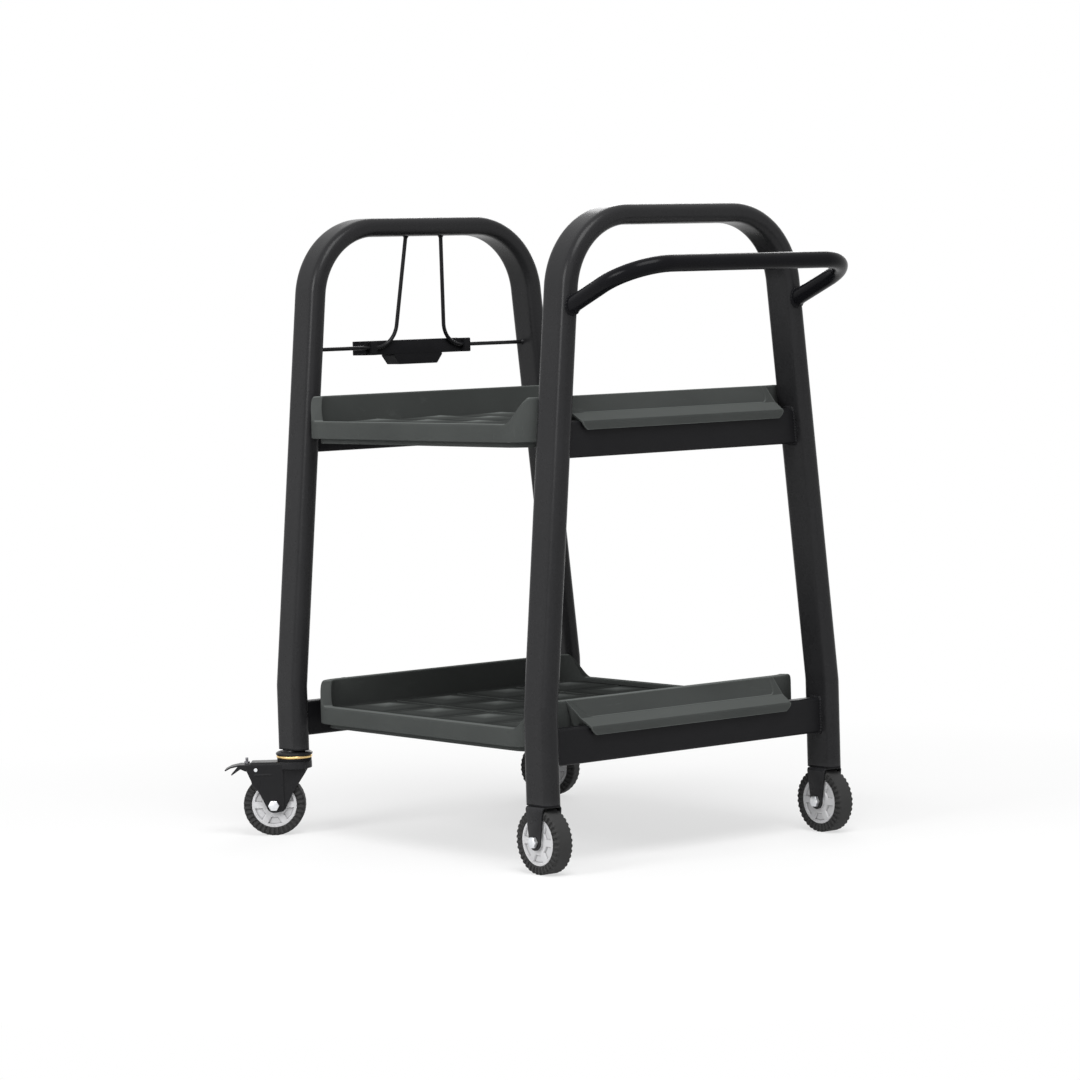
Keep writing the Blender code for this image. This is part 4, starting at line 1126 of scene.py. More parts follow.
@dataclass
class Tray:
    """A moulded tray: a broad rim that dips along the sides, a floor of pads, a basin and two aprons."""

    level: Level
    width: float = 0.5640
    length: float = 0.5800
    corner: float = 0.0580
    skirt: float = 0.0030
    rim_wide: float = 0.0180
    outer_edge: float = 0.0034
    inner_edge: float = 0.0026
    soft_edge: float = 0.0009
    fine_edge: float = 0.0004
    hollow_edge: float = 0.0012
    deck: float = 0.0040
    top: float = 0.2515
    rim: float = 0.2125
    base: float = 0.1850
    floor: float = TRAY_FLOOR
    lap: float = 0.00004
    tuck: float = 0.0008
    cove: float = 0.0036
    curve_start: float = math.radians(12.0)
    curve_end: float = math.radians(57.0)
    basin_low: float = 0.1765
    rib: float = 0.0030
    quilt: int = 4
    pitch_x: float = 0.1255
    pitch_y: float = 0.1310
    border: float = 0.0026
    step_wide: float = 0.0008
    step_tall: float = 0.0019
    pad_rise: float = 0.0078
    crest: float = 0.0016
    groove: float = 0.0018
    groove_deep: float = 0.0012
    sheet: float = 0.0025
    apron_width: float = 0.4220
    fold_width: float = 0.4060
    lip_width: float = 0.3860
    apron_run: float = 0.0280
    apron_drop: float = 0.0250
    fold_drop: float = 0.0125
    lip_tall: float = 0.0125
    lip_gap: float = 0.0040
    panel_sink: float = 0.0010
    panel_edge: float = 0.0014
    hook_drop: float = 0.0110
    web: float = 0.0040

    def section(self, top: float) -> Array:
        """The wall's closed section for a rim of one height: a hollow rim, the inner wall and a basin rib.

        Args:
            top: the rim's height.

        Returns:
            The section as (inward, height) points.
        """
        wide, skirt, rib = self.rim_wide, self.skirt, self.rim_wide - self.rib
        low, reach = self.floor - self.deck, self.rim_wide + 2 * self.cove
        corners = [(0.0, self.base), (0.0, top), (wide, top), (wide, self.floor), (reach, self.floor),
                   (reach, low), (wide, low), (wide, self.basin_low), (rib, self.basin_low),
                   (rib, top - skirt), (skirt, top - skirt), (skirt, self.base)]
        soft, fine, hollow = self.soft_edge, self.fine_edge, self.hollow_edge
        radii = [soft, self.outer_edge, self.inner_edge, self.cove, fine, fine, soft, soft, soft,
                 hollow, hollow, soft]
        return rounded_path([corners[-1], *corners, corners[0]], radii, 6)[1:-1]

    def add_wall(self, form: Form) -> None:
        """The wall's section carried round a rectangle with round corners.

        The rim's height is a smooth step of the angle along each corner's arc, which is 0 where the
        side ends and a quarter turn where the end wall starts, and the section at a height lies
        between the lowest and the highest one by the same share.

        Args:
            form: the tray's form, which takes the wall.
        """
        outline = refine(rounded_rectangle(self.width, self.length, self.corner, 45), 0.02, closed=True)
        away = outline_normals(outline)
        past_x = np.maximum(0.0, np.abs(outline[:, 0]) - self.width / 2 + self.corner)
        past_y = np.maximum(0.0, np.abs(outline[:, 1]) - self.length / 2 + self.corner)
        angle = np.arctan2(past_y, past_x)
        share = ease((angle - self.curve_start) / (self.curve_end - self.curve_start))[:, None, None]
        section = self.section(self.rim) * (1.0 - share) + self.section(self.top) * share
        spot = outline[:, None] - away[:, None] * section[..., :1]
        form.grid(np.concatenate([spot, section[..., 1:]], -1), wrap_rows=True, wrap_cols=True)

    def pad_stops(self, pitch: float) -> tuple[Array, Array]:
        """A pad's side view from its middle to a groove's: distances, and the heights there.

        Args:
            pitch: distance from a groove to the next.

        Returns:
            The distances from the pad's middle, and the heights over the floor.
        """
        block = pitch / 2 - self.border
        stops = [0.0, self.crest, block, block + self.step_wide, (pitch - self.groove) / 2, pitch / 2]
        rises = [self.pad_rise, self.pad_rise, self.step_tall, 0.0, 0.0, -self.groove_deep]
        return np.array(stops), np.array(rises)

    def pads(self, x: Array, y: Array) -> Array:
        """Height of the hipped pads: the lesser of two side views, one across and one along.

        Args:
            x: places across the floor.
            y: places along the floor.

        Returns:
            The heights over the floor.
        """
        views = []
        for value, pitch in ((x, self.pitch_x), (y, self.pitch_y)):
            spot = np.abs(np.mod(value / pitch + self.quilt / 2, 1.0) - 0.5) * pitch
            view = np.interp(spot, *self.pad_stops(pitch))
            views.append(np.where(np.abs(value) > self.quilt * pitch / 2, 0.0, view))
        return np.minimum(*views)

    def ruler(self, half: float, pitch: float) -> Array:
        """Grid lines across the floor: close on the steps and grooves, and even on the pads' slopes.

        Args:
            half: half of the floor's size.
            pitch: distance from a groove to the next.

        Returns:
            The grid lines' places, in order.
        """
        stops = self.pad_stops(pitch)[0]
        spans = zip(stops[:-1], stops[1:], (2, 13, 2, 3, 1))
        share = [np.linspace(start, end, count, endpoint=False) for start, end, count in spans]
        side = np.concatenate([*share, stops[-1:]])
        one = np.concatenate([-side[:0:-1], side[:-1]])
        middle = (np.arange(self.quilt) - (self.quilt - 1) / 2) * pitch
        edge = self.quilt * pitch / 2
        margin = np.linspace(edge, half, 4)
        return np.concatenate([-margin[:0:-1], (middle[:, None] + one).ravel(), margin])

    def add_floor(self, form: Form) -> None:
        """A plate with round corners: a square grid whose corner cells are mapped from square to disc.

        Args:
            form: the tray's form, which takes the floor.
        """
        inset = self.rim_wide + self.cove - self.tuck
        half = (self.width / 2 - inset, self.length / 2 - inset)
        radius = self.corner - inset
        rulers = (self.ruler(half[0], self.pitch_x), self.ruler(half[1], self.pitch_y))
        grids = np.meshgrid(*rulers, indexing="ij")
        share = [np.clip((np.abs(grid) - (h - radius)) / radius, 0.0, 1.0) for grid, h in zip(grids, half)]
        both = [share[0] * np.sqrt(1 - share[1] ** 2 / 2), share[1] * np.sqrt(1 - share[0] ** 2 / 2)]
        x, y = [np.where(s > 0, np.sign(grid) * (h - radius + radius * b), grid)
                for grid, s, h, b in zip(grids, share, half, both)]
        upper = np.stack([x, y, self.floor - self.lap + self.pads(x, y)], -1)
        lower = np.stack([x, y, np.full_like(x, self.floor - self.deck + self.lap)], -1)
        border = [np.s_[:-1, 0], np.s_[-1, :-1], np.s_[:0:-1, -1], np.s_[0, :0:-1]]
        above = np.concatenate([upper[cut] for cut in border])
        below = np.concatenate([lower[cut] for cut in border])
        form.grid(upper).grid(np.stack([above, below]), wrap_cols=True).cap(below)

    def add_ribs(self, form: Form) -> None:
        """The two ribs that cross under the deck, inside the basin.

        Args:
            form: the tray's form, which takes the ribs.
        """
        half, inset = self.rib / 2, self.rim_wide - self.rib / 2
        reach = (self.width / 2 - inset, self.length / 2 - inset)
        low, high = self.basin_low + self.rib, self.floor - self.deck / 2
        form.block((-half, -reach[1], low), (half, reach[1], high))
        form.block((-reach[0], -half, low), (reach[0], half, high))

    def apron_line(self) -> Array:
        """Side view of an apron's outer face as (run, height): wall top, slope, fold and lip.

        Returns:
            The points of the line, from the wall's top to the lip's end.
        """
        half = self.length / 2
        lip = HALF_SPREAD + BAR_THICK / 2 + self.lip_gap + self.sheet
        crease = self.top - self.apron_drop
        fold = crease - self.fold_drop
        corners = [(half - self.outer_edge, self.top), (half, self.top), (half + self.apron_run, crease),
                   (lip, fold), (lip, fold - self.lip_tall)]
        return refine(rounded_path(corners, [0.0015, 0.0040, 0.0035], 6), 0.0011)

    def taper(self, height: Array) -> Array:
        """Half of an apron's width: a straight taper to the fold, and a round one below it.

        Args:
            height: heights on the apron.

        Returns:
            The half width at each height.
        """
        share = (self.top - height) / (self.apron_drop + self.fold_drop)
        below = np.maximum(0.0, (self.top - self.apron_drop - self.fold_drop - height) / self.lip_tall)
        straight = self.apron_width / 2 - np.minimum(share, 1.0) * (self.apron_width - self.fold_width) / 2
        return straight - below ** 2 * (self.fold_width - self.lip_width) / 2

    def panel(self, x: Array, at: Array) -> Array:
        """How deep the apron's shallow panel is: 1 inside its border, 0 outside, with round lower corners.

        Args:
            x: places across the apron.
            at: distances down its slope from the wall's face.

        Returns:
            The share of the panel's depth at each place.
        """
        length = math.hypot(self.apron_run, self.apron_drop)
        line = np.array([-0.003, length - 0.014, length - 0.007, length - 0.002, length - 0.0005])
        half = np.interp(at, line, [0.2050, 0.1950, 0.1910, 0.1850, 0.1770])
        return ease((half - np.abs(x)) / self.panel_edge) * ease((length - 0.0008 - at) / self.panel_edge)

    def add_apron(self, form: Form, end: End) -> None:
        """The bent sheet over a crossbar, with its panel pressed in.

        Args:
            form: the tray's form, which takes the apron.
            end: the end of the cart that it is for.
        """
        line = self.apron_line()
        up = line_normals(line)
        length = np.cumsum(np.linalg.norm(np.diff(line, axis=0), axis=1))
        at = np.concatenate([[0.0], length]) - self.outer_edge
        half = self.taper(line[:, 1])[:, None]
        inner = np.linspace(-0.88, 0.88, 24)
        outer = 0.88 + 0.12 * np.linspace(0.06, 1.0, 16)
        x = half * np.concatenate([-outer[::-1], inner, outer])
        sink = self.panel_sink * self.panel(x, at[:, None])
        upper = np.broadcast_to(line[:, None], (*x.shape, 2)) - up[:, None] * sink[..., None]
        lower = np.broadcast_to((line - up * self.sheet)[:, None], (*x.shape, 2))
        form.slab(*(Axis.X.place(end.sign * skin[..., 0], skin[..., 1], x) for skin in (upper, lower)))

    def web_outline(self) -> Array:
        """Side view of a web under an apron: it rests on the crossbar and hooks behind it.

        Returns:
            The outline as (run, height) points.
        """
        half, inset = self.length / 2, self.sheet / 2
        seat = LOWER_BAR_BASE + BAR_TALL + SEAT_GAP
        reach = HALF_SPREAD + BAR_THICK / 2 - 0.005
        hook = HALF_SPREAD - BAR_THICK / 2 - SEAT_GAP
        crease = (half + self.apron_run - 0.0014, self.top - self.apron_drop - 0.0017)
        return np.array([
            (half - 0.0010, self.top - 0.0022), crease, (reach, seat + 0.0035), (reach, seat),
            (hook, seat), (hook, seat - self.hook_drop), (half - inset, seat - self.hook_drop)])

    def add_webs(self, form: Form, end: End) -> None:
        """The gussets that close an apron's ends, which follow its taper, and three webs between them.

        Args:
            form: the tray's form, which takes the webs.
            end: the end of the cart that it is for.
        """
        web = rounded_outline(self.web_outline(), 0.0006, 2)
        for side in Side:
            across = self.taper(web[:, 1]) - np.array([SEAT_GAP, SEAT_GAP + self.sheet])[:, None]
            form.tube(Axis.X.place(end.sign * web[:, 0], web[:, 1], side.sign * across))
        for at in np.array([-1.0, 0.0, 1.0]) * self.lip_width / 3:
            form.prism(web * np.array([end.sign, 1.0]), at - self.web / 2, at + self.web / 2, Axis.X)

    def build(self) -> None:
        """All of the tray as one piece."""
        form = Form()
        self.add_wall(form)
        self.add_floor(form)
        self.add_ribs(form)
        for end in End:
            self.add_apron(form, end)
            self.add_webs(form, end)
        name = self.level.value + "_tray"
        place = Place(z=self.level.lift)
        fit(form, name + "_moulding", Seat("frame", Finishes.tray, (name,), place))


# ---------------------------------------------------------------- clipboard holder


@dataclass
class Holder:
    """Two bent wires that hang from the front arch, and the channel that a clipboard stands in."""

    wire: float = 0.0065
    sink: float = 0.0008
    spread: float = 0.0724
    set_back: float = 0.0123
    spread_slope: float = 0.0860
    lean_slope: float = 0.1080
    bend: float = 0.0400
    level: float = 0.7854
    width: float = 0.2180
    deep: float = 0.0360
    tall: float = 0.0230
    above: float = 0.0106
    sheet: float = 0.0026
    keel_top: float = 0.1060
    keel_base: float = 0.0780
    keel_tall: float = 0.0170
    clip: float = 0.0120
    clip_wall: float = 0.0022

    def build_wire(self, side: Side) -> None:
        """A round wire: down from the tube, out and forward, then across to the leg, with a welded foot.

        Args:
            side: the side of the leg that it goes to.
        """
        sign, leg = side.sign, float(leg_inner(self.level))
        top = CART_HEIGHT - TUBE_THICK + self.sink
        drop = top - self.level
        start = (sign * self.spread / 2, HALF_SPREAD - self.set_back, top)
        corner = (start[0] + sign * drop * self.spread_slope, start[1] + drop * self.lean_slope,
                  self.level)
        end = (sign * (leg + self.sink), corner[1], self.level)
        path = rounded_path([start, corner, end], [self.bend], 24)
        across = unit(np.cross(path[1] - path[0], path[-1] - path[-2]))
        form = Form().tube(sweep(path, across, circle(self.wire / 2, 28)))
        swell = np.array([(0.0, 0.0), (0.0052, 0.0), (0.0048, 0.0008), (0.0040, 0.0020),
                          (0.0033, 0.0034), (0.0, 0.0040)])
        foot = Form().turned(swell * np.array([1.0, -1.0]), 28, Axis.Z, bored=False)
        form.add(foot.shifted(start[0], start[1], CART_HEIGHT - TUBE_THICK))
        heel = Form().turned(swell * np.array([1.0, -sign]), 28, Axis.X, bored=False)
        form.add(heel.shifted(sign * leg, end[1], end[2]))
        name = "holder_wire_" + side.value
        fit(form, name + "_rod", Seat("frame", Finishes.wire, (name,)))

    def build_ledge(self) -> None:
        """The channel, its keel and the two clips that go round the wires."""
        drop = CART_HEIGHT - TUBE_THICK - SEAT_GAP - self.level
        wire_y = HALF_SPREAD - self.set_back + drop * self.lean_slope
        back = wire_y + self.wire / 2 + SEAT_GAP
        front, top = back + self.deep, self.level + self.above
        base, sheet, half = top - self.tall, self.sheet, self.width / 2
        channel = rounded_outline([
            (back, base), (front, base), (front, top), (front - sheet, top), (front - sheet, base + sheet),
            (back + sheet, base + sheet), (back + sheet, top), (back, top)], 0.0009, 4)
        form = Form().prism(channel, -half, half, Axis.X)
        keel = rounded_outline([
            (-self.keel_top / 2, base + sheet / 2), (-self.keel_base / 2, base - self.keel_tall),
            (self.keel_base / 2, base - self.keel_tall), (self.keel_top / 2, base + sheet / 2)], 0.0030, 6)
        form.prism(keel, back + 0.0002, front - 0.0002, Axis.Y)
        grip = self.wire / 2 + SEAT_GAP + self.clip_wall
        shell = rounded_outline([
            (wire_y - grip, base), (back + sheet / 2, base), (back + sheet / 2, top),
            (wire_y - grip, top)], 0.0022, 5)
        for side in Side:
            centre = side.sign * (half - self.clip)
            form.prism(shell, centre - self.clip / 2, centre + self.clip / 2, Axis.X)
        fit(form, "holder_ledge_channel", Seat("frame", Finishes.plastic, ("holder_ledge",), bevel=0.0005))

    def build(self) -> None:
        """Both wires and the ledge."""
        for side in Side:
            self.build_wire(side)
        self.build_ledge()


# ---------------------------------------------------------------- castors


@dataclass
class Wheel:
    """A ribbed tyre on a light core with pockets, turned about the castor's own Y axis."""

    prefix: str
    body: str
    place: Place
    trail: float = 0.0
    rim: float = 0.0365
    core_width: float = 0.0270
    hub: float = 0.0120
    hub_width: float = 0.0318
    bore: float = 0.0081
    shoulder: float = 0.0026
    edge: float = 0.0010
    ribs: int = 36
    rib_depth: float = 0.0024
    rib_fade: float = 0.0012
    notch: float = 0.0017
    notch_rise: float = 0.0020
    notch_run: float = 0.0030
    lip: float = 0.0005
    pockets: int = 6
    pocket_depth: float = 0.0030
    pocket_edge: float = 0.0016
    hub_margin: float = 0.0075
    rim_margin: float = 0.0040
    spoke: float = 0.0045

    def build_tyre(self) -> None:
        """The tyre's closed section turned round the axle, with its sides and shoulders cut by ribs.

        A groove value, the cosine of the angle times the number of ribs, raised and sharpened, draws
        the sides inwards and the shoulders towards the axle.
        """
        half, rim = TYRE_WIDTH / 2, self.rim + SEAT_GAP
        cut, inner = self.shoulder, self.core_width / 2
        section = refine(rounded_outline([
            (rim, -inner), (rim + cut, -half), (WHEEL_RADIUS - cut, -half), (WHEEL_RADIUS, -half + cut),
            (WHEEL_RADIUS, half - cut), (WHEEL_RADIUS - cut, half), (rim + cut, half), (rim, inner)],
            self.edge, 3), 0.0022, closed=True)
        angle = np.linspace(0.0, 2 * np.pi, self.ribs * 10, endpoint=False)[:, None]
        groove = ease(0.5 + 0.85 * np.cos(self.ribs * angle))
        radius, along = section[:, 0], section[:, 1]
        out = np.abs(along) - half
        side = ease((radius - rim - self.rib_fade) / self.rib_fade) * ease((out + 0.0022) / self.rib_fade)
        edge = ease((radius - WHEEL_RADIUS + 2 * self.notch_rise) / self.notch_rise)
        edge = edge * ease((out + 0.0050) / self.notch_run)
        along = along - np.sign(along) * self.rib_depth * groove * side
        radius = radius - self.notch * groove * edge
        points = Axis.Y.place(radius * np.cos(angle), radius * np.sin(angle), along)
        form = Form().grid(points, wrap_rows=True, wrap_cols=True).shifted(self.trail, 0.0, WHEEL_RADIUS)
        name = self.prefix + "_tyre"
        fit(form, name + "_tread", Seat(self.body, Finishes.tyre, (name,), self.place))

    def build_core(self) -> None:
        """Both faces, the rim and the bore as one skin.

        Each face's depth is a function of radius and angle: the core's half width, more on the hub,
        less at the skin's edges, and less by a smooth step inside each pocket's border.
        """
        angle = np.linspace(0.0, 2 * np.pi, self.pockets * 36, endpoint=False)[:, None]
        radius = np.concatenate([
            [self.bore, self.bore + 0.0006], np.linspace(self.hub - 0.0012, self.hub + 0.0016, 6),
            np.linspace(self.hub + 0.0024, self.rim - 0.0016, 26), [self.rim - 0.0005, self.rim]])
        boss = 1.0 - ease((radius - self.hub + 0.0004) / 0.0012)
        face = self.core_width / 2 + (self.hub_width - self.core_width) / 2 * boss
        face = face - self.lip * ((radius < self.bore + 0.0003) | (radius > self.rim - 0.0003))
        turn = np.abs(np.mod(angle / (2 * np.pi) * self.pockets, 1.0) - 0.5) * 2 * np.pi / self.pockets
        between = np.minimum(radius - self.hub - self.hub_margin, self.rim - self.rim_margin - radius)
        beside = radius * np.sin(np.maximum(0.0, np.pi / self.pockets - turn)) - self.spoke
        face = face - self.pocket_depth * ease(np.minimum(between, beside) / self.pocket_edge)
        across = np.concatenate([np.broadcast_to(line, face.shape) for line in (radius, radius[::-1])], 1)
        along = np.concatenate([face, -face[:, ::-1]], 1)
        points = Axis.Y.place(across * np.cos(angle), across * np.sin(angle), along)
        form = Form().grid(points, wrap_rows=True, wrap_cols=True).shifted(self.trail, 0.0, WHEEL_RADIUS)
        name = self.prefix + "_wheel_core"
        fit(form, name + "_moulding", Seat(self.body, Finishes.core, (name,), self.place))

    def build(self) -> None:
        """The tyre and the core."""
        self.build_tyre()
        self.build_core()


HEXAGON_TIP = 0.94
CHAMFER = math.radians(30.0)


def hexagon_head(across: float, low: float, high: float, chamfers: tuple[bool, bool]) -> Array:
    """Rings of a hexagon whose corners are turned off: each ring's radius is the lesser of two.

    One is the hexagon's own radius at an angle, half its width over the cosine of the angle from the
    nearest flat; the other is a cone's radius, which shrinks over the last part of the height.

    Args:
        across: width across the flats.
        low: where the head starts.
        high: where it ends.
        chamfers: whether the corners are turned off at the start and at the end.

    Returns:
        The rings as (first, second, along) points.
    """
    angle = np.linspace(0.0, 2 * np.pi, 96, endpoint=False)
    flat = np.mod(angle, np.pi / 3) - np.pi / 6
    hexagon = across / 2 / np.cos(flat)
    corner = across / 2 / math.cos(math.pi / 6)
    tip = across / 2 * HEXAGON_TIP
    drop = math.copysign((corner - tip) * math.tan(CHAMFER), high - low)
    start, end = [(low, corner)], [(high, corner)]
    if chamfers[0]:
        start = refine(np.array([(low, tip), (low + drop, corner)]), 0.0005)
    if chamfers[1]:
        end = refine(np.array([(high - drop, corner), (high, tip)]), 0.0005)
    levels = np.concatenate([start, end])
    radius = np.minimum(hexagon, levels[:, 1:])
    along = np.broadcast_to(levels[:, :1], radius.shape)
    return np.stack([radius * np.cos(angle), radius * np.sin(angle), along], -1)


@dataclass
class Axle:
    """A hexagon bolt through a fork, and its nut."""

    prefix: str
    body: str
    place: Place
    half: float
    head_side: int
    trail: float = 0.0
    across: float = 0.0156
    head: float = 0.0064
    nut: float = 0.0080
    rod: float = 0.0100
    pitch: float = 0.0015
    thread: float = 0.0004
    washer: float = 0.0008
    tail: float = 0.0020
    collar: float = 0.0072

    def barrel(self, rings: Array) -> Array:
        """Rings about the vertical laid along the axle."""
        along, up = self.head_side * rings[..., 2], rings[..., 1] + WHEEL_RADIUS
        return np.stack([rings[..., 0] + self.trail, along, up], -1)

    def build_bolt(self, face: float) -> None:
        """The head with its washer face, and a shank whose thread is a row of half sines to its tail.

        Args:
            face: distance of the fork's outer face from the middle.
        """
        head = hexagon_head(self.across, face + 0.0005, face + self.head, (False, True))
        form = Form().tube(self.barrel(head))
        width, rod, top = self.across * 0.47, self.rod / 2, face + self.washer
        washer = np.array([(0.0, face), (width, face), (width, top), (0.0, top)])
        form.grid(self.barrel(spin(washer, 48)), wrap_rows=True)
        tail = face + self.nut + self.tail
        along = np.arange(-tail + 0.0010, -face + 0.001, self.pitch / 4)
        wave = rod - self.thread * np.abs(np.sin(np.pi * along / self.pitch))
        shank = np.concatenate([[(0.0, -tail), (rod - 0.0011, -tail)], np.stack([wave, along], 1),
                                [(rod, -face + 0.0014), (rod, face + 0.001), (0.0, face + 0.001)]])
        form.grid(self.barrel(spin(shank, 40)), wrap_rows=True)
        name = self.prefix + "_axle_bolt"
        fit(form, name + "_hex", Seat(self.body, Finishes.zinc, (name,), self.place))

    def build_nut(self, face: float) -> None:
        """The nut with its locking collar, which narrows towards the bolt's tail.

        Args:
            face: distance of the fork's outer face from the middle.
        """
        end = -face - self.nut
        form = Form().tube(self.barrel(hexagon_head(self.across, -face, end + 0.0012, (True, True))))
        wide = self.collar
        collar = np.array([(0.0, end + 0.0020), (wide, end + 0.0020), (wide - 0.0002, end + 0.0006),
                           (wide - 0.0008, end), (0.0, end)])
        form.grid(self.barrel(spin(collar, 40)), wrap_rows=True)
        name = self.prefix + "_axle_nut"
        fit(form, name + "_hex", Seat(self.body, Finishes.zinc, (name,), self.place))

    def build(self) -> None:
        """The bolt and the nut, each against its own side of the fork."""
        self.build_bolt(self.half + SEAT_GAP)
        self.build_nut(self.half + SEAT_GAP)


@dataclass
class LegPlug:
    """The plastic plug that closes a leg: a rounded flange, and a core inside the tube."""

    end: End
    side: Side
    base: float
    flange: float = 0.0020
    depth: float = 0.0300

    def build(self) -> None:
        """The flange with rounded edges, and the core above it."""
        inside = 2 * (TUBE_WALL + SEAT_GAP)
        flange = rounded_rectangle(TUBE_THICK, TUBE_DEEP, TUBE_CORNER, 10)
        form = Form().prism(flange, self.base, self.base + self.flange)
        core = rounded_rectangle(TUBE_THICK - inside, TUBE_DEEP - inside, TUBE_CORNER - inside / 2, 6)
        form.prism(core, self.base + self.flange / 2, self.base + self.flange + self.depth)
        name = f"{self.end.value}_{self.side.value}_leg_plug"
        place = leg_place(self.end, self.side)
        fit(form, name + "_cap", Seat("frame", Finishes.plastic, (name,), place, bevel=0.0005))


@dataclass
class FixedCastor:
    """A castor under a rear leg: a bent fork, and a wheel on its axle."""

    side: Side
    gap: float = TYRE_WIDTH + 0.0012
    sheet: float = 0.0028
    top: float = 0.1033
    top_half: float = 0.0200
    foot: float = 0.0130
    bend: float = 0.0042
    corner: float = 0.0007

    def strip(self) -> Array:
        """The fork's sheet: a rounded section whose width narrows down each plate to a round foot.

        The half width at a height is a straight taper from the crown to the axle, and the height of a
        circle's chord below it.

        Returns:
            The rings of the sheet, from one foot over the crown to the other.
        """
        middle = self.gap / 2 + self.sheet / 2
        crown = self.top - self.sheet / 2
        low = WHEEL_RADIUS - self.foot
        corners = [(-middle, low), (-middle, crown), (middle, crown), (middle, low)]
        path = refine(rounded_path(corners, [self.bend] * 2, 10), 0.0016)
        height = path[:, 1]
        share = np.clip((height - WHEEL_RADIUS) / (crown - WHEEL_RADIUS), 0.0, 1.0)
        below = np.minimum(height - WHEEL_RADIUS, 0.0)
        chord = np.sqrt(np.maximum(self.foot ** 2 - below ** 2, 0.0004 ** 2))
        half = np.where(height > WHEEL_RADIUS, self.foot + (self.top_half - self.foot) * share, chord)
        section = rounded_rectangle(2 * self.top_half, self.sheet, self.corner, 3)
        sign = np.sign(section[:, 0])
        round_off = section[:, 0] - sign * self.top_half
        wide = sign * half[:, None] + round_off * np.minimum(1.0, half / 0.002)[:, None]
        across = path[:, None] + line_normals(path)[:, None] * section[:, 1:]
        return Axis.X.place(across[..., 0], across[..., 1], wide)

    def build(self) -> None:
        """The fork, the wheel, and the axle with its head on the left side."""
        prefix = "rear_" + self.side.value
        place = leg_place(End.REAR, self.side, math.radians(-90.0))
        seat = Seat("frame", Finishes.fork, (prefix + "_fork",), place)
        fit(Form().tube(self.strip()), prefix + "_fork_strip", seat)
        Wheel(prefix, prefix + "_wheel", place).build()
        Axle(prefix, "frame", place, self.gap / 2 + self.sheet, -1).build()
        keep([prefix + "_axle_bush"], Finishes.zinc)


@dataclass
class AdjustingScrew:
    """The screw that sets a brake, with its lock nut."""

    name: str
    body: str
    place: Place
    x: float
    base: float
    across: float = 0.0080
    nut: float = 0.0040
    radius: float = 0.0025
    pitch: float = 0.0008
    thread: float = 0.0003
    tall: float = 0.0100

    def build(self) -> None:
        """The nut, and the screw, whose thread is a row of half sines."""
        base, top = self.base, self.base + self.tall
        form = Form().tube(hexagon_head(self.across, base, base + self.nut, (True, True)))
        level = np.arange(base + 0.0030, base + 0.0094, self.pitch / 4)
        radius = self.radius - self.thread * np.abs(np.sin(np.pi * level / self.pitch))
        thread = np.stack([radius, level], 1)
        line = np.concatenate([[(0.0, level[0])], thread, [(0.0020, top), (0.0, top)]])
        form.turned(line, 32, bored=False).shifted(self.x)
        seat = Seat(self.body, Finishes.dull, (self.name + "_adjusting_screw",), self.place)
        fit(form, self.name + "_screw_and_nut", seat)


